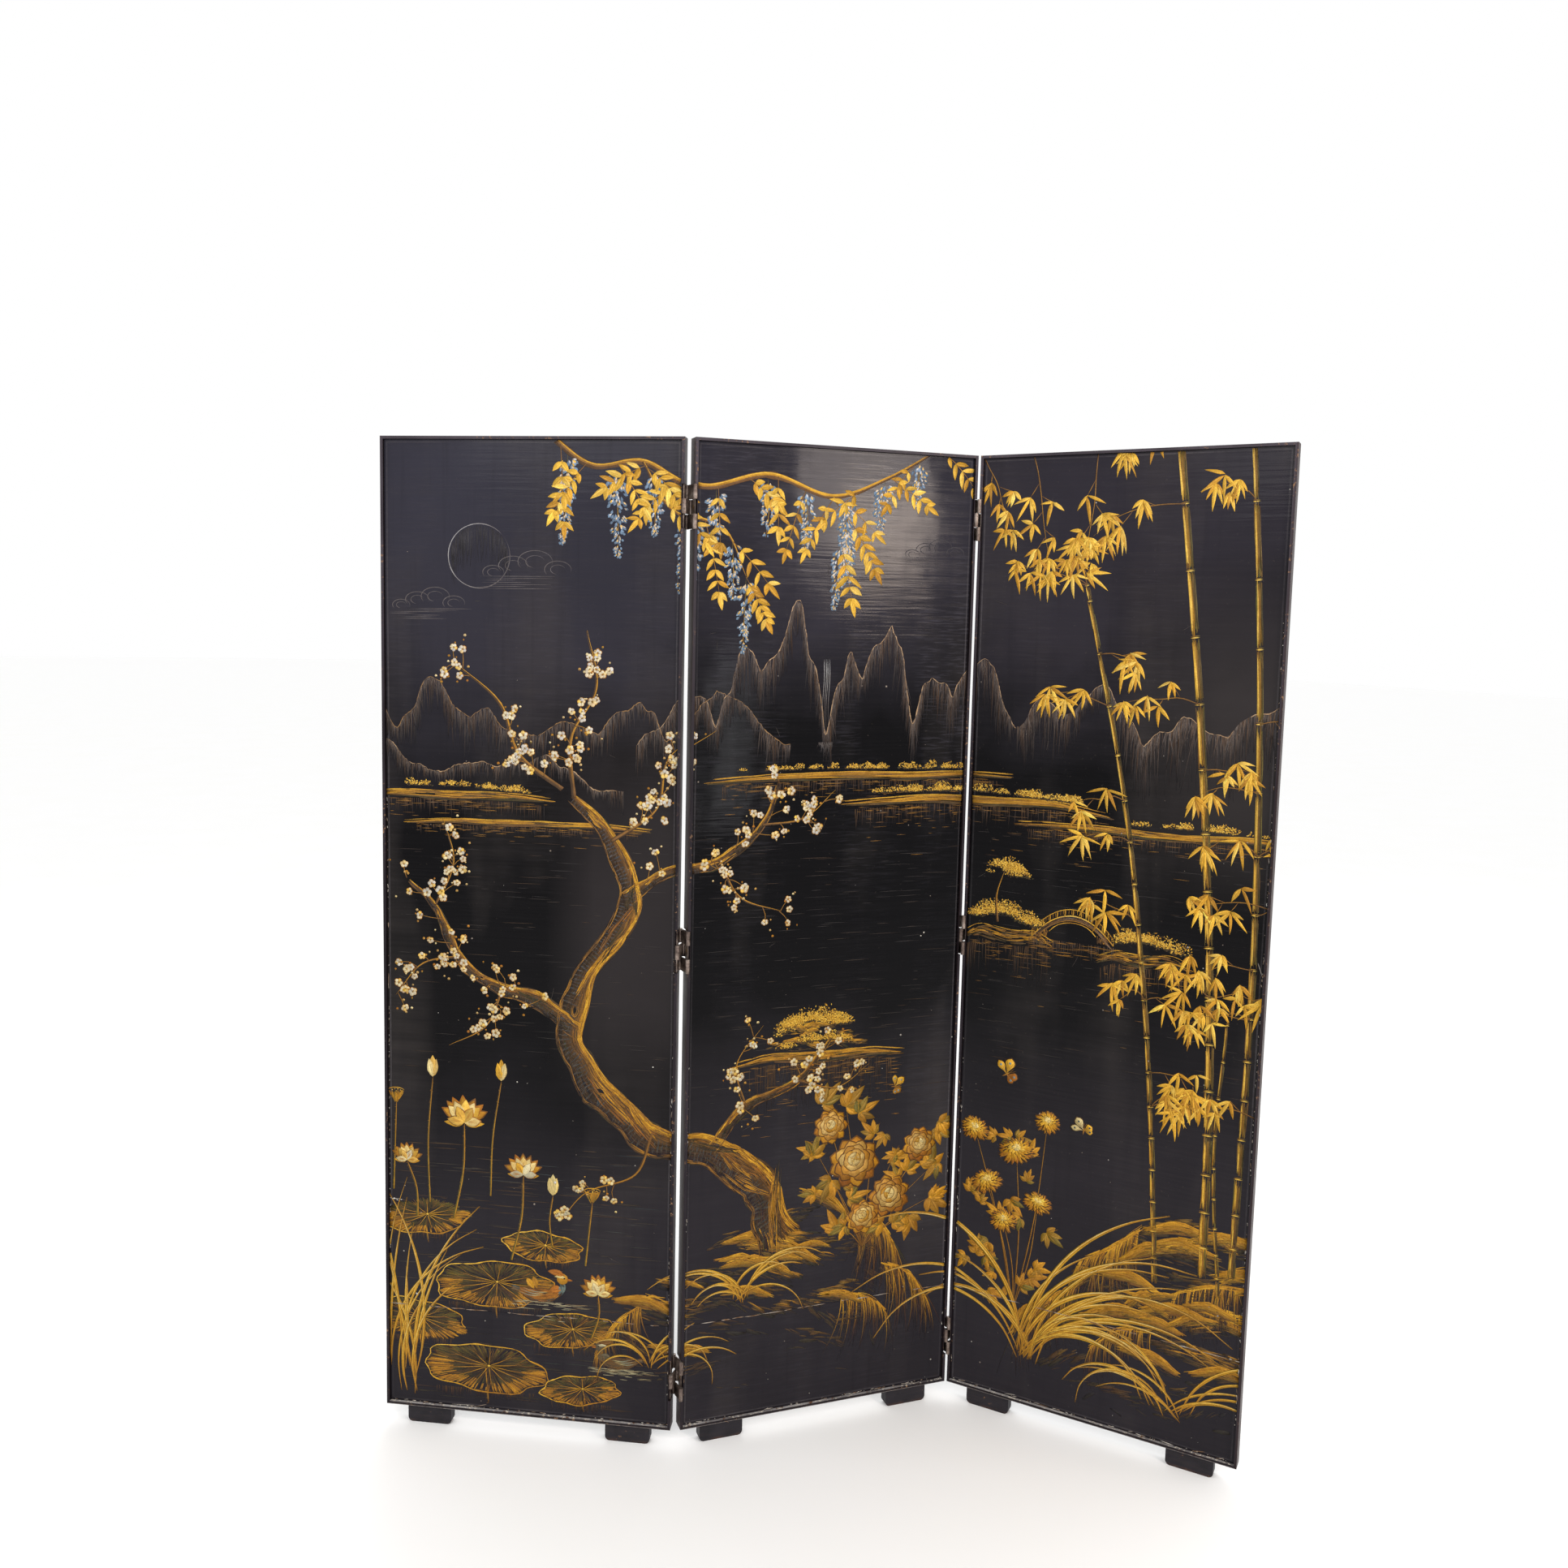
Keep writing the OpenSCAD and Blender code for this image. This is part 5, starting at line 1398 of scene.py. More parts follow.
def duck(s, c, size, face=1, layer=0, male=True):
    """a mandarin duck on the water"""
    rng = s.rng
    c = np.asarray(c, float)
    g = lambda x, y: c + size * np.array([face * x, y])
    sg = 1 if face > 0 else -1
    body = [g(-0.52, 0.10), g(-0.30, 0.02), g(0.0, -0.02), g(0.26, 0.04), g(0.38, 0.16)]
    s.brush(body, [size * 0.05, size * 0.26, size * 0.32, size * 0.28, size * 0.1], 70, [UMBER, BROWN, BLUE_DK], layer, dash=(0.3, 0.7), bw=size * 0.035)
    s.brush(body, [size * 0.04, size * 0.2, size * 0.26, size * 0.22, size * 0.08], 90, [BROWN, AMBER, OCHRE] if male else [GREY, BROWN, MIST], layer + 1, dash=(0.1, 0.3), bw=size * 0.02)
    s.leaves([g(0.14, 0.10)], 90 - sg * 70, size * 0.26, size * 0.17, [AMBER if male else GREY], bend=-0.2 * sg, layer=layer + 2, n=9, tip=1.0)
    s.brush([g(0.33, 0.03), g(0.40, 0.16), g(0.36, 0.28)], size * 0.13, 26, [BLUE_DK, BLUE] if male else [BROWN, GREY], layer + 2, dash=(0.3, 0.7), bw=size * 0.025)
    s.spots([g(0.40, 0.36)], size * 0.115, [GOLD_DEEP if male else GREY], layer + 3, n=9)
    s.leaves([g(0.44, 0.42)], 90 + sg * 62, size * 0.34, size * 0.14, [AMBER if male else BROWN], bend=0.25 * sg, layer=layer + 4, n=9, tip=0.9)
    s.leaves([g(0.46, 0.39)], 90 + sg * 76, size * 0.22, size * 0.065, [CREAM if male else PALE], bend=0.2 * sg, layer=layer + 5, n=7, tip=0.9, shine=0)
    s.leaves([g(0.49, 0.35)], 0 if face > 0 else 180, size * 0.12, size * 0.05, [AMBER], bend=-0.1 * sg, layer=layer + 4, n=6, tip=0.6)
    s.spots([g(0.44, 0.375)], size * 0.018, [DARK], layer + 6, n=6)
    if male:
        s.leaves([g(-0.12, 0.12), g(-0.18, 0.11)], [90 + sg * 18, 90 + sg * 36], size * 0.26, size * 0.13, [AMBER, GOLD], layer=layer + 4, n=8, tip=1.2)
    for j, (x, y) in enumerate([(-0.1, 0.06), (-0.16, 0.02), (-0.22, -0.02)]):
        s.line([g(x + 0.2, y), g(x - 0.05, y - 0.01), g(x - 0.34, y + 0.07)], size * 0.018, [CREAM, BLUE, OCHRE], layer + 3, n=8)
    s.leaves([g(-0.46, 0.08)] * 3, 90 + sg * np.array([66, 78, 90]), size * 0.2, size * 0.06, [BLUE_DK, BROWN, GREY], layer=layer + 2, n=6)
    k = 60
    x = rng.uniform(-0.75, 0.75, k)
    p = c + size * np.stack([x, -0.15 - rng.exponential(0.07, k)], 1)
    s.leaves(p, rng.normal(0, 2, k), size * rng.uniform(0.08, 0.34, k), 0.8, [GREY, PALE, BROWN], layer=layer + 1, n=4, shine=0)


def butterfly(s, c, size, turn=0.0, layer=0, tint=(GOLD, AMBER, BLUE)):
    c = np.asarray(c, float)
    rng = s.rng
    for a, ln, wd, cols in [(62, 1.0, 0.62, [tint[0]]), (-28, 0.68, 0.56, [tint[1]]), (112, 0.92, 0.46, [tint[0]]), (-66, 0.62, 0.42, [tint[1]])]:
        s.leaves([c], a + turn, size * ln, size * wd, [UMBER], layer=layer, n=9, tip=1.9, shine=0)
        s.leaves([c], a + turn, size * ln * 0.93, size * wd * 0.86, cols, layer=layer + 1, n=9, tip=1.9, shine=0)
        for dd in (-14, -5, 5, 14):
            t = math.radians(a + turn + dd)
            s.line([c, c + size * ln * 0.8 * np.array([math.cos(t), math.sin(t)])], 0.5, [BROWN, UMBER], layer + 2, n=4)
        t = math.radians(a + turn)
        s.spots([c + size * ln * 0.66 * np.array([math.cos(t), math.sin(t)])], size * 0.07, [tint[2]], layer + 3)
    t = math.radians(turn + 20)
    d = np.array([math.cos(t), math.sin(t)])
    s.line([c - d * size * 0.32, c, c + d * size * 0.22], size * 0.09, [BROWN, OCHRE], layer + 3, n=7)
    for dd in (18, 38):
        t2 = t + math.radians(dd - 28)
        s.line([c + d * size * 0.2, c + size * 0.5 * np.array([math.cos(t2), math.sin(t2)]) + d * size * 0.05], 0.5, OCHRE, layer + 3, n=5)


def cloud(s, c, size, layer=0, colours=(MIST, GREY)):
    """a drifting cloud of curling lines"""
    c = np.asarray(c, float)
    for x, y, r in [(-0.55, 0.0, 0.16), (-0.25, 0.10, 0.22), (0.08, 0.16, 0.26), (0.42, 0.05, 0.2)]:
        q = c + size * np.array([x, y])
        s.ring(q, size * r, size * r * 0.62, 1.3, list(colours), layer, start=-20, end=215, n=20)
        s.ring(q, size * r * 0.55, size * r * 0.34, 1.0, list(colours), layer, start=10, end=260, n=16)
    for k in range(7):
        y = -0.06 - 0.03 * k
        x0 = s.rng.uniform(-0.9, -0.4)
        s.line([c + size * np.array([x0, y]), c + size * np.array([x0 + s.rng.uniform(0.5, 1.3), y + 0.01])], 1.1, list(colours), layer, taper=(0.4, 0.5))


def bridge(s, c, span, rise, layer=0):
    """a small hump-backed stone bridge"""
    rng = s.rng
    c = np.asarray(c, float)
    x = np.linspace(-1, 1, 15)
    deck = c + np.stack([x * span / 2, rise * (1 - x**2)], 1)
    under = c + np.stack([x[3:-3] * span / 2, rise * 0.72 * np.clip(1 - (x[3:-3] / 0.62) ** 2, 0, 1) ** 0.5], 1)
    s.brush(deck - [0, 5], 9, 120, [UMBER, BROWN, GREY], layer, dash=(0.05, 0.16), bw=1.4, ragged=0)
    s.line(deck, 1.7, [OCHRE, GOLD, GOLD_HI, GOLD, OCHRE], layer + 1, taper=(0, 0))
    s.line(deck - [0, 9], 0.9, [BROWN, OCHRE, BROWN], layer + 1, taper=(0, 0))
    s.line(deck + [0, 12], 1.1, [OCHRE, GOLD, OCHRE], layer + 1, taper=(0, 0))
    s.line(under, 1.4, [GOLD, OCHRE, GOLD], layer + 2, taper=(0, 0))
    for q in spline(deck, 13):
        s.line([q, q + [0, 14]], 1.3, [GOLD, OCHRE], layer + 2, n=4, taper=(0, 0.1))
    for q in spline(deck, 36):
        s.line([q + [0, 3], q + [0, 11]], 0.6, OCHRE, layer + 1, n=3, taper=(0, 0))
    for side in (-1, 1):
        for j in range(9):
            f = 0.64 + 0.36 * j / 8
            q = c + [side * span / 2 * f, 0]
            top = rise * (1 - f * f) - 9
            if top > 2:
                s.brush([q, q + [0, top]], span * 0.03, 9, [UMBER, BROWN, OCHRE], layer, dash=(0.2, 0.5), bw=1.2, ragged=0)
    falls(s, [c + [-span * 0.55, -3], c + [span * 0.55, -3]], -90, rise * 0.9, int(span * 0.8), [UMBER, MIST, BROWN], layer, 0, 1.0, 2, 0.2, n=4)
    streaks(s, (c[0] - span * 0.6, c[1] - rise * 0.7, c[0] + span * 0.4, c[1] - 3), int(span * 0.3), [BROWN, OCHRE], layer + 1)


def specks(s, m, colours, layer=0, size=(0.4, 1.1)):
    rng = s.rng
    s.leaves(np.stack([rng.uniform(0, 3 * W, m), rng.uniform(0, H, m)], 1), rng.uniform(0, 180, m), rng.uniform(*size, m), rng.uniform(*size, m) * 0.7, colours, layer=layer, n=4, shine=0)


def paint_all():
    far = Sheet("distance", 101).at(0)
    # moon and drifting cloud
    far.ring((178, 1588), 56, 56, 1.5, [GREY, lerp(PALE, GREY, 0.5), GREY, MIST], 1, n=60, taper=(0.1, 0.1), start=40, end=398)
    falls(far, [(126, 1600), (142, 1628), (178, 1641), (214, 1628), (230, 1600)], -90, 70, 150, [lerp(MIST, DARK, 0.2), lerp(MIST, DARK, 0.5)], 0, 0, 1.6, 3, 0.3, n=4)
    cloud(far, (270, 1560), 120, 2)
    cloud(far, (90, 1500), 100, 2)
    cloud(far, (1010, 1610), 90, 2, (lerp(MIST, DARK, 0.3), MIST))
    # far peaks
    peaks(far, karst([(-20, 1330, 90), (86, 1372, 74), (190, 1322, 80), (330, 1300, 110), (470, 1338, 70), (590, 1360, 90)], 1235), 0, 80, 0.9, (lerp(OCHRE, GREY, 0.45), lerp(BROWN, GREY, 0.5)))
    peaks(far, karst([(560, 1350, 60), (640, 1440, 62), (742, 1520, 66), (842, 1432, 52), (925, 1486, 60), (1010, 1392, 60), (1110, 1420, 74), (1215, 1350, 80), (1330, 1385, 90), (1470, 1330, 100), (1640, 1370, 90)], 1240), 1, 120, 1.1)
    # nearer low hills
    peaks(far, karst([(-10, 1260, 120), (160, 1225, 130), (300, 1240, 90)], 1180), 4, 46, 1.0)
    # a fall of water between two peaks
    for x in (792, 796, 799, 803):
        far.line([(x, 1418), (x + 1, 1380), (x - 1, 1330), (x + 2, 1262)], 0.9, [PALE, GREY, MIST], 6, taper=(0.1, 0.7))
    falls(far, [(784, 1268), (812, 1268)], (-70, -110), 26, 40, [GREY, MIST], 6, 0, 1.0, 20, 0.2, n=4)
    # shores
    shore(far, -30, 300, 1170, 16, 4, 1.0, 1.0)
    shore(far, 60, 470, 1120, 11, 4, 0.7, 0.8)
    shore(far, 600, 1140, 1212, 15, 4, 1.2, 1.0)
    shore(far, 860, 1330, 1165, 17, 5, 1.4, 1.2)
    shore(far, 1200, 1660, 1128, 14, 4, 1.0, 1.0)
    bushes(far, [(640, 1216), (800, 1218), (1080, 1214)], 34, 12, 70, 7)
    bushes(far, [(900, 1172), (1100, 1172), (1300, 1164)], 40, 15, 90, 8)
    bushes(far, [(10, 1176), (140, 1178), (270, 1168)], 22, 12, 70, 7)
    bushes(far, [(1380, 1132), (1500, 1134), (1620, 1130)], 20, 11, 60, 7)
    # water across the middle
    streaks(far, (20, 640, 540, 1100), 110, [lerp(MIST, DARK, 0.7), lerp(MIST, DARK, 0.4), lerp(DARK, UMBER, 0.6)], 0, (10, 60))
    streaks(far, (560, 560, 1080, 1140), 190, [lerp(MIST, DARK, 0.7), lerp(MIST, DARK, 0.4), lerp(DARK, UMBER, 0.6)], 0, (10, 70))
    streaks(far, (1100, 640, 1620, 1100), 150, [lerp(MIST, DARK, 0.7), lerp(MIST, DARK, 0.4), lerp(DARK, UMBER, 0.6)], 0, (10, 60))

    # islet with a hump-backed bridge
    mid = Sheet("islets", 102).at(1)
    shore(mid, 1090, 1250, 920, 30, 0, 1.4, 1.2)
    shore(mid, 1345, 1500, 905, 24, 0, 1.2, 1.2)
    bridge(mid, (1292, 912), 150, 46, 2)
    for line, rows, size, m in [([(1100, 934), (1160, 946), (1225, 926)], 26, 21, 150), ([(1370, 916), (1420, 924), (1490, 908)], 20, 18, 120)]:
        bushes(mid, line, rows, size, m, 4, lift=1.2)
    twig(mid, [(1150, 930), (1146, 980), (1160, 1030)], 4, 5)
    bushes(mid, [(1130, 1020), (1158, 1040), (1188, 1016)], 14, 20, 150, 6, lift=0.8)
    # an islet with bushes in the centre
    crag(mid, [(690, 694), (722, 728), (790, 752), (856, 732), (912, 694)], 260, (44, 18), 0, None, None, 0.0, 3, span=(8, 24), bw=1.6)
    shore(mid, 650, 960, 694, 20, 3, 1.4, 2.2)
    bushes(mid, [(715, 722), (770, 748), (850, 738)], 30, 22, 150, 5, lift=1.2)
    bushes(mid, [(730, 700), (800, 712), (880, 706)], 16, 15, 90, 7)

    ground = Sheet("rocks", 103).at(1)
    # rocks across the foot of the centre panel
    mound = [(400, 20), (402, 130), (452, 214), (520, 262), (560, 318), (640, 366), (700, 352), (742, 400), (812, 420), (872, 372), (905, 306), (965, 276), (1010, 214), (1052, 150), (1074, 70), (1060, 12), (400, 12)]
    drop = lambda u, v: -78 * np.clip((u - 880) / 190, 0, 1) ** 0.9 + 70 * np.clip((470 - u) / 90, 0, 1) - 12
    dim = lambda u, v: np.clip((1085 - u) / 240, 0, 1) ** 0.8 * np.clip((u - 385) / 70, 0, 1) * np.clip(0.10 + v / 330, 0, 1) * (0.80 + 0.2 * np.sin(u / 47.0 + v / 61.0))
    crag(ground, mound, 4200, (120, 44), 0, drop, dim, -0.05, 5)
    cascade(ground, [(880, 372), (930, 352), (968, 300)], (-70, -62), (190, 150), -0.32, 130)
    cascade(ground, [(948, 262), (1000, 236), (1034, 190)], (-72, -60), (170, 120), -0.30, 110)
    cascade(ground, [(860, 210), (915, 200), (955, 165)], (-76, -64), (130, 100), -0.34, 90)
    cascade(ground, [(402, 132), (440, 196), (486, 232)], (-112, -100), (70, 120), 0.35, 100)
    # rocks at the foot of the right panel
    mound = [(1170, 12), (1178, 70), (1226, 140), (1250, 200), (1300, 236), (1338, 310), (1404, 348), (1446, 402), (1520, 436), (1580, 418), (1640, 430), (1640, 12)]
    drop = lambda u, v: 62 * np.clip((1400 - u) / 240, 0, 1) ** 0.8 + 8
    dim = lambda u, v: np.clip((u - 1150) / 150, 0, 1) ** 0.8 * np.clip(0.12 + v / 250, 0, 1) * (0.84 + 0.16 * np.sin(u / 53.0 - v / 71.0))
    crag(ground, mound, 4400, (105, 42), 0, drop, dim, -0.03, 9)
    cascade(ground, [(1440, 398), (1392, 352), (1336, 312)], (-104, -118), (150, 190), 0.30, 150)
    cascade(ground, [(1330, 262), (1286, 226), (1240, 172)], (-106, -120), (120, 150), 0.34, 120)
    cascade(ground, [(1640, 330), (1570, 322), (1500, 290)], (-92, -104), (110, 130), 0.18, 110)
    cascade(ground, [(1470, 210), (1410, 196), (1360, 150)], (-100, -112), (90, 110), 0.25, 90)

    wood = Sheet("wood", 104).at(2)
    main = [(735, 330), (690, 440), (600, 520), (500, 560), (410, 620), (352, 720), (372, 840), (440, 930), (452, 1030), (400, 1120), (330, 1180)]
    trunk(wood, main, [92, 70, 62, 58, 56, 52, 46, 42, 36, 28, 16], 0, side=-1, tone=1.1)
    limb = [(362, 740), (300, 792), (222, 812), (140, 868), (96, 960), (40, 1010)]
    trunk(wood, limb, [34, 28, 22, 17, 12, 6], 1, side=-1, tone=1.0)
    limb2 = [(446, 985), (520, 1040), (600, 1060), (680, 1120), (712, 1200)]
    trunk(wood, limb2, [26, 21, 17, 12, 6], 1, side=1, tone=1.0)
    limb3 = [(590, 525), (660, 600), (760, 640), (830, 720)]
    trunk(wood, limb3, [24, 18, 12, 5], 1, side=1, tone=0.9)
    branches = [
        ([(330, 1180), (250, 1240), (215, 1330), (130, 1400)], 8),
        ([(352, 1165), (345, 1270), (390, 1360), (372, 1460)], 8),
        ([(420, 1090), (500, 1150), (520, 1240), (590, 1290)], 7),
        ([(140, 868), (70, 850), (20, 790)], 5),
        ([(96, 960), (130, 1040), (110, 1120)], 5),
        ([(222, 812), (190, 740), (120, 700)], 5),
        ([(680, 1120), (760, 1130), (820, 1180)], 5),
        ([(600, 1060), (640, 990), (720, 960)], 5),
        ([(760, 640), (840, 620), (905, 660)], 4),
        ([(660, 600), (640, 680), (690, 750)], 4),
        ([(500, 560), (470, 480), (380, 440), (330, 380)], 6),
    ]
    for pts, w in branches:
        twig(wood, pts, w, 4, taper=(0.0, 0.95))

    bloom = Sheet("blossom", 105).at(3)
    for pts, cnt in [(limb, 16), (limb2, 14), (limb3, 9)]:
        plum_sprays(bloom, pts, 0, cnt)
    for (pts, w), cnt in zip(branches, [14, 15, 14, 8, 9, 7, 8, 8, 7, 7, 8]):
        plum_sprays(bloom, pts, 0, cnt, reach=38)

    # wisteria over the top
    vine = Sheet("wisteria", 106).at(3)
    vines = [
        [(300, 1800), (380, 1745), (470, 1752), (560, 1712), (680, 1738), (800, 1706), (905, 1742), (1010, 1800)],
        [(470, 1752), (520, 1672), (600, 1640), (640, 1560)],
        [(800, 1706), (832, 1668), (818, 1628)],
    ]
    for v, w in zip(vines, (11, 6, 6)):
        vine.line(v, w, [UMBER, BROWN, UMBER], 0, taper=(0, 0.4))
        vine.line(np.array(v) + [0, w * 0.2], w * 0.5, [BROWN, OCHRE, GOLD_DEEP, OCHRE], 1, taper=(0, 0.4))
        vine.line(np.array(v) + [0, w * 0.34], w * 0.16, [GOLD_DEEP, GOLD, GOLD_DEEP], 2, taper=(0, 0.4))
    rng = vine.rng
    for t in np.linspace(0.06, 0.96, 9):
        p, _ = along(vines[0], t)
        raceme(vine, p + [rng.normal(0, 8), -4], rng.uniform(95, 165) * (0.72 if t > 0.55 else 1.0), rng.uniform(26, 36), 3, lean=rng.normal(0, 0.06))
    for v in vines[1:]:
        for t in (0.45, 0.75, 1.0):
            p, _ = along(v, t)
            raceme(vine, p, rng.uniform(80, 130), 28, 3, lean=rng.normal(0, 0.08))
    for v, cnt in zip(vines, (14, 5, 3)):
        for t in np.linspace(0.04, 1.0, cnt):
            p, a = along(v, t)
            pinnate(vine, p, -90 + rng.uniform(-70, 70), rng.uniform(62, 104), 6, int(rng.integers(4, 7)), rng.uniform(24, 33), rng.uniform(8, 11), droop=rng.uniform(0.1, 0.4))

    # bamboo on the right
    bam = Sheet("bamboo", 107).at(2)
    j1 = cane(bam, [(1552, 330), (1540, 800), (1500, 1300), (1440, 1800)], 15, 0)
    j2 = cane(bam, [(1600, 340), (1606, 900), (1590, 1400), (1560, 1800)], 12, 0, tone=0.8)
    j3 = cane(bam, [(1470, 300), (1440, 700), (1380, 1150), (1290, 1560)], 10, 1, tone=0.9, first=50, most=105)
    j4 = cane(bam, [(1580, 300), (1560, 560), (1570, 800)], 7, 1, tone=0.7, first=40, most=80)
    lv = Sheet("bamboo_leaves", 108).at(4)
    rng = lv.rng
    for joints, start, ln, side_bias in ((j1, 6, (90, 170), 0.62), (j2, 6, (60, 120), 0.75), (j3, 5, (70, 150), 0.55)):
        for i, (q, a) in enumerate(joints[start:]):
            if rng.random() < 0.42:
                continue
            for _ in range(1 if i % 3 else 2):
                left = rng.random() < side_bias
                ang = rng.uniform(125, 172) if left else rng.uniform(12, 55)
                bamboo_branch(lv, q, ang, rng.uniform(*ln) * (1.0 if left else 0.75), 0, int(rng.integers(3, 6)), leaf=(34, 56), lw=6.4, droop=rng.uniform(0.25, 0.6))
    for q, ang, ln in [((1086, 1800), -60, 120), ((1180, 1800), -75, 150), ((1300, 1800), -95, 170), ((1290, 1560), 150, 150), ((1290, 1560), 100, 120), ((1629, 640), 160, 130), ((1629, 1010), 165, 120)]:
        bamboo_branch(lv, q, ang, ln, 0, 6, droop=0.3)

    # lotus pond at the foot of the left panel
    pond = Sheet("lotus", 109).at(1)
    streaks(pond, (5, 20, 470, 520), 260, [lerp(MIST, DARK, 0.6), lerp(MIST, DARK, 0.2), UMBER, lerp(BLUE_DK, DARK, 0.5)], 0, (12, 80), 1.2)
    for c, rx, ry, tn in [((74, 372), 84, 34, 5), ((300, 330), 74, 28, -4), ((206, 250), 112, 44, 2), ((60, 170), 94, 38, -6), ((352, 172), 86, 33, 5), ((190, 84), 118, 46, -3), ((372, 58), 74, 28, 6)]:
        stalk(pond, [(c[0], c[1]), (c[0] + 6, c[1] - ry * 1.5)], 4, 0)
        lotus_leaf(pond, c, rx, ry, 1, tn)
        falls(pond, [(c[0] - rx * 0.8, c[1] - ry * 0.9), (c[0] + rx * 0.8, c[1] - ry * 0.9)], -90, 22, int(rx), [MIST, UMBER, BROWN], 0, 0, 1.0, 2, 0.2, n=4)
    flowers = Sheet("flowers", 110).at(3)
    for c, r, root in [((150, 560), 46, (130, 372)), ((262, 468), 36, (240, 300)), ((40, 480), 30, (60, 372)), ((404, 250), 34, (392, 160))]:
        stalk(flowers, [root, ((root[0] + c[0]) / 2 + 8, (root[1] + c[1]) / 2), (c[0], c[1] - 4)], 4.2, 0)
        lotus_flower(flowers, c, r, 2)
    for c, root in [((318, 430), (318, 330)), ((90, 640), (84, 400)), ((220, 640), (200, 420))]:
        stalk(flowers, [root, ((root[0] + c[0]) / 2 - 6, (root[1] + c[1]) / 2), c], 3.2, 0)
        flowers.leaves(np.repeat(np.array([c], float), 3, 0), [78, 90, 102], [34, 40, 34], [14, 17, 14], [GOLD_DEEP, GOLD, CREAM], layer=2, n=9, tip=0.85)
    for c, root in [((392, 424), (380, 300)), ((20, 590), (14, 420))]:
        stalk(flowers, [root, c], 3.2, 0)
        flowers.brush([(c[0], c[1] - 2), (c[0], c[1] + 9), (c[0], c[1] + 20)], [6, 20, 30], 60, [OLIVE, OCHRE, GOLD_DEEP], 2, dash=(0.3, 0.8), bw=1.6)
        flowers.ring((c[0], c[1] + 20), 15, 5, 1.4, [GOLD, OCHRE], 3)
        flowers.spots(np.array([(c[0] + x, c[1] + 20 + y) for x, y in ((-8, 0), (-3, 2), (3, 2), (8, 0), (0, -2))]), 1.3, [GOLD_HI, UMBER], 4)
    for k in range(15):
        x = flowers.rng.uniform(4, 60)
        blade(flowers, arch((x, flowers.rng.uniform(20, 90)), flowers.rng.uniform(180, 430), flowers.rng.uniform(78, 104), flowers.rng.uniform(-80, 60)), flowers.rng.uniform(3.4, 6.2), 5)
    life = Sheet("life", 111).at(2)
    duck(life, (300, 238), 92, 1, 2, True)
    duck(life, (440, 118), 78, -1, 2, False)

    # peonies by the rocks
    for c, r in [((880, 470), 50), ((955, 395), 42), ((830, 545), 34), ((1015, 490), 34), ((900, 360), 34)]:
        peony(flowers, c, r, 0)
    rng = flowers.rng
    leaves_at = np.array([(835, 440), (920, 520), (870, 400), (990, 440), (1040, 440), (800, 500), (1000, 350), (940, 340), (860, 580), (1050, 520), (812, 590), (960, 470), (1040, 380), (850, 340)], float)
    pe = Sheet("peony_leaves", 112).at(2)
    for q in leaves_at:
        twig(pe, [(900, 300), ((900 + q[0]) / 2, (300 + q[1]) / 2 + 10), q], 2.4, 0)
    lobed_leaves(pe, leaves_at, rng.uniform(0, 360, len(leaves_at)), 44, 2)
    lobed_leaves(pe, leaves_at + rng.normal(0, 20, leaves_at.shape), rng.uniform(0, 360, len(leaves_at)), 36, 4)

    # chrysanthemums and long grass by the right-hand rocks
    for c, r in [((1150, 420), 34), ((1205, 492), 38), ((1122, 520), 30), ((1250, 400), 30), ((1185, 350), 28), ((1262, 560), 26)]:
        twig(pe, [(1210, 180), ((1210 + c[0]) / 2 + 8, (180 + c[1]) / 2), c], 3.0, 0)
        mums(flowers, c, r, 0, tilt=rng.uniform(0.6, 0.95), turn=rng.uniform(-25, 25))
    q = np.stack([rng.uniform(1105, 1270, 26), rng.uniform(200, 520, 26)], 1)
    lobed_leaves(pe, q, rng.uniform(0, 360, 26), 30, 2)
    grass = Sheet("grass", 113).at(4)
    rng = grass.rng
    for k in range(26):
        side = 1 if k % 5 else -1
        blade(grass, arch((1236 + rng.normal(0, 10), 96 + rng.normal(0, 8)), rng.uniform(230, 470), 90 - side * rng.uniform(5, 42), -side * rng.uniform(60, 150)), rng.uniform(5, 9.5), 0)
    for k in range(13):
        side = 1 if k % 2 else -1
        blade(grass, arch((1515 + rng.normal(0, 14), 70 + rng.normal(0, 6)), rng.uniform(140, 300), 90 - side * rng.uniform(8, 50), -side * rng.uniform(60, 150)), rng.uniform(4, 7), 0)
    for k in range(12):
        side = 1 if k % 2 else -1
        blade(grass, arch((655 + rng.normal(0, 12), 232 + rng.normal(0, 6)), rng.uniform(100, 210), 90 - side * rng.uniform(8, 55), -side * rng.uniform(60, 160)), rng.uniform(3.5, 6), 0)
    for k in range(10):
        side = 1 if k % 2 else -1
        blade(grass, arch((500 + rng.normal(0, 12), 120 + rng.normal(0, 6)), rng.uniform(90, 170), 90 - side * rng.uniform(8, 55), -side * rng.uniform(60, 160)), rng.uniform(3.2, 5), 0)
    butterfly(grass, (1180, 640), 34, 12, 4)
    butterfly(grass, (1330, 560), 28, 60, 4, (CREAM, GOLD, BLUE_DK))
    butterfly(grass, (960, 610), 26, -20, 4, (GOLD, OCHRE, BLUE))

    wear = Sheet("wear", 114).at(5)
    rng = wear.rng
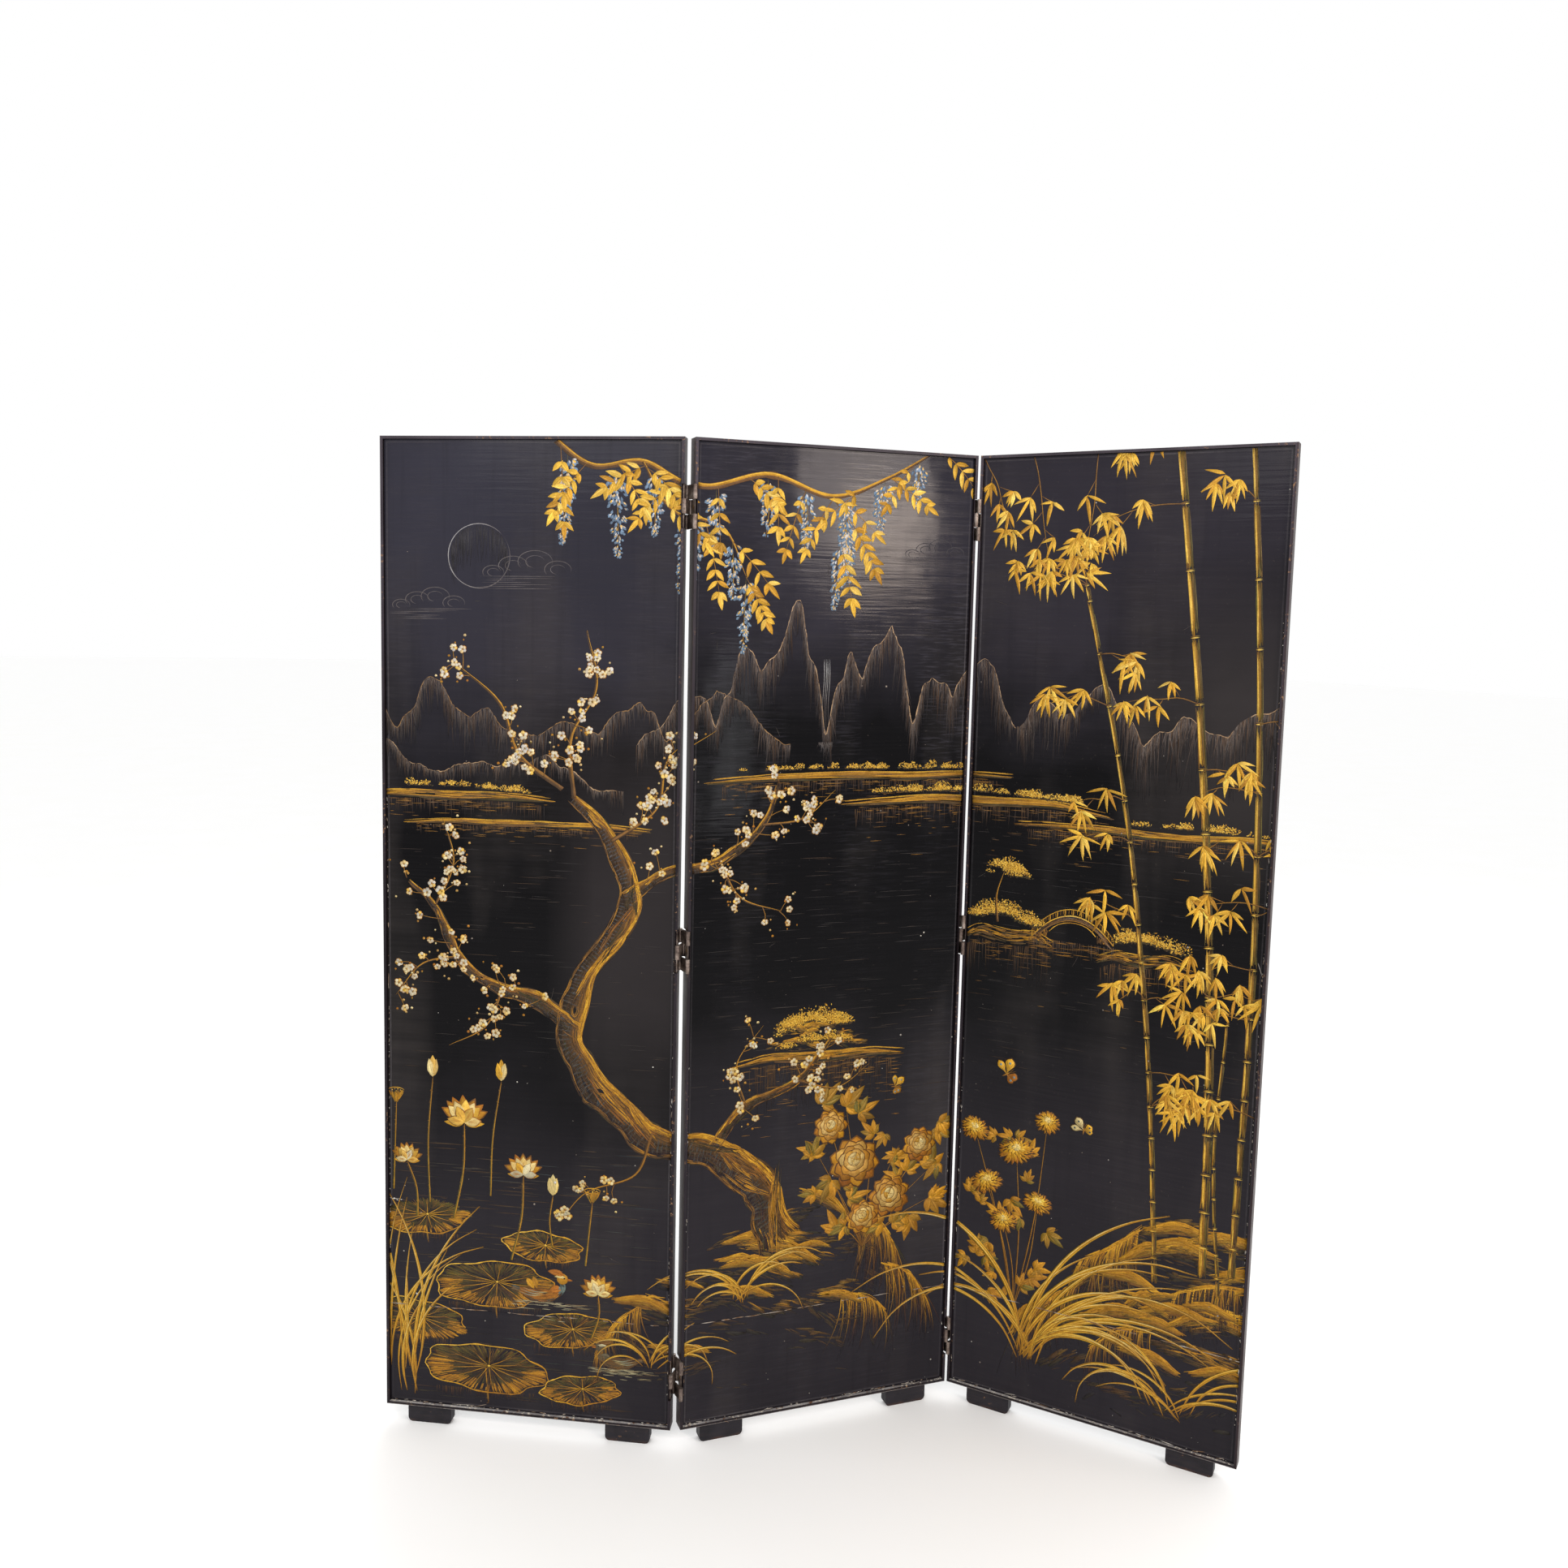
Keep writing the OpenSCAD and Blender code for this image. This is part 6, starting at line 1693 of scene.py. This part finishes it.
    # the joint line over the bottom rail, opened here and there
    for k in range(3):
        x = 5.0
        while x < 536:
            ln = rng.uniform(4, 46)
            if rng.random() < 0.8:
                y = 197.0 + rng.normal(0, 0.35)
                p = [(k * W + x + f * ln, y + rng.normal(0, 0.25)) for f in (0, 0.33, 0.66, 1)]
                wear.line(p, rng.uniform(1.1, 2.1), [lerp(PALE, BROWN, 0.55), BROWN, lerp(PALE, BROWN, 0.7)] if rng.random() < 0.6 else [lerp(PALE, BROWN, 0.25), lerp(BROWN, GREY, 0.5)], 0, taper=(0.3, 0.3), wobble=0.35)
            x += ln + rng.exponential(5)
    # chips along the inner lips, most of them low down
    for side, lo, hi, cnt in [(6.8, 300, 1150, 70), (536.0, 60, 900, 60), (W + 6.8, 60, 700, 26), (W + 536.0, 60, 560, 20), (2 * W + 6.8, 40, 700, 44), (2 * W + 536.0, 60, 1500, 120)]:
        q = np.stack([side + rng.normal(0, 0.35, cnt), lo + (hi - lo) * rng.uniform(0, 1, cnt) ** 1.2], 1)
        wear.leaves(q, 90 + rng.normal(0, 12, cnt), rng.exponential(2.6, cnt) + 0.8, rng.uniform(0.6, 1.5, cnt), [PALE, lerp(PALE, BROWN, 0.5), BROWN], layer=1, n=4, tip=1.0, shine=0)
    for k in range(3):
        cnt = 46
        q = np.stack([k * W + rng.uniform(7, 536, cnt), 6.6 + np.abs(rng.normal(0, 0.5, cnt))], 1)
        wear.leaves(q, rng.normal(0, 8, cnt), rng.exponential(5, cnt) + 1.0, rng.uniform(0.6, 1.6, cnt), [PALE, lerp(PALE, BROWN, 0.5), BROWN], layer=1, n=4, tip=1.0, shine=0)
    # the short split at the left edge
    p = np.array([(6, 402), (14, 400.5), (24, 401.5), (38, 399)], float)
    wear.line(p, 1.5, [PALE, lerp(PALE, BROWN, 0.4), BROWN], 1, taper=(0.05, 0.6), wobble=0.4)
    wear.leaves(np.array([(12, 401), (19, 399.5), (27, 400)]), [10, -20, 5], [5, 4, 3], [2.2, 1.6, 1.4], [PALE], layer=2, n=5, shine=0)
    # white specks and dull pricks over the boards
    cnt = 150
    q = np.stack([rng.uniform(8, 3 * W - 8, cnt), H * rng.uniform(0.01, 0.99, cnt) ** 1.25], 1)
    wear.spots(q, np.minimum(rng.exponential(0.42, cnt) + 0.35, 2.0), [PALE, GREY, lerp(PALE, BROWN, 0.5)], 1, n=5)
    wear.spots(np.array([(322, 455), (1010, 905), (1004, 899), (250, 640)]), [2.4, 1.6, 1.2, 1.2], [PALE], 1, n=6)
    # fine scratches
    cnt = 42
    q = np.stack([rng.uniform(10, 3 * W - 10, cnt), H * rng.uniform(0.02, 0.98, cnt)], 1)
    wear.leaves(q, rng.normal(20, 40, cnt), rng.uniform(5, 26, cnt), 0.45, [lerp(GREY, DARK, 0.4), lerp(GREY, DARK, 0.6)], bend=0.1, layer=1, n=5, shine=0)

    return [wear, far, mid, ground, wood, bloom, vine, bam, lv, pond, flowers, life, pe, grass]


def paint_piece(name, panel, v, f, c):
    v = v.copy()
    uv = v[:, ::2] / (W, H)
    v[:, 0] -= W / 2
    v[:, 1] += Y_FACE
    me = bpy.data.meshes.new(name)
    me.vertices.add(len(v))
    me.vertices.foreach_set("co", to_row(panel, v).astype(np.float32).ravel())
    me.loops.add(f.size)
    me.loops.foreach_set("vertex_index", f.astype(np.int32).ravel())
    me.polygons.add(len(f))
    me.polygons.foreach_set("loop_start", np.arange(0, f.size, 4, dtype=np.int32))
    me.update(calc_edges=True)
    # painted light: the gold is paler above and darker and deeper towards the foot, as the light falls off downwards;
    # nothing is darker than the ground, which carries the lacquer's painted reflection
    t = np.clip(v[:, 2:3] / H, 0, 1)
    if "_wear" not in name:
        c = c * (np.array([[0.77, 0.71, 0.42]]) * (1 - t) + np.array([[0.98, 1.03, 1.22]]) * t)
    z = v[:, 2:3] + FOOT
    # the lacquer's painted reflection, greyer above and below mid height, as a floor for the paint colour
    bloom = np.clip((z - 1200) / 300, 0, 1) + np.clip((860 - z) / 360, 0, 1)
    c = np.maximum(c, A(srgb(13, 12, 14)) * (1 - bloom) + A(srgb(36, 33, 38)) * bloom)
    col = me.color_attributes.new("Col", "FLOAT_COLOR", "POINT")
    col.data.foreach_set("color", np.hstack([np.clip(c, 0, 1), np.ones((len(c), 1))]).astype(np.float32).ravel())
    bake = me.uv_layers.new(name="OFBake")
    bake.data.foreach_set("uv", uv[f.ravel()].astype(np.float32).ravel())
    me.materials.append(MATS["paint"])
    o = bpy.data.objects.new(name, me)
    bpy.context.scene.collection.objects.link(o)
    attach(o, panel)
    return o


MOST = 90000  # faces in one piece
for sheet in paint_all():
    for k, panel in enumerate(PANELS):
        o = sheet.out[k]
        parts, held, size, base = [], [], 0, 0
        starts = np.cumsum([0] + [len(x) for x in o["v"]])
        i = 0
        while i < len(o["v"]):
            j, size = i, 0
            while j < len(o["v"]) and (size + len(o["f"][j]) <= MOST or j == i):
                size += len(o["f"][j])
                j += 1
            tag = panel + "_" + sheet.name + ("" if i == 0 and j == len(o["v"]) else "_%d" % (len(parts) + 1))
            parts.append(tag)
            if size > 250:
                paint_piece(tag, panel, np.vstack(o["v"][i:j]), np.vstack(o["f"][i:j]) - starts[i], np.vstack(o["c"][i:j]))
            i = j
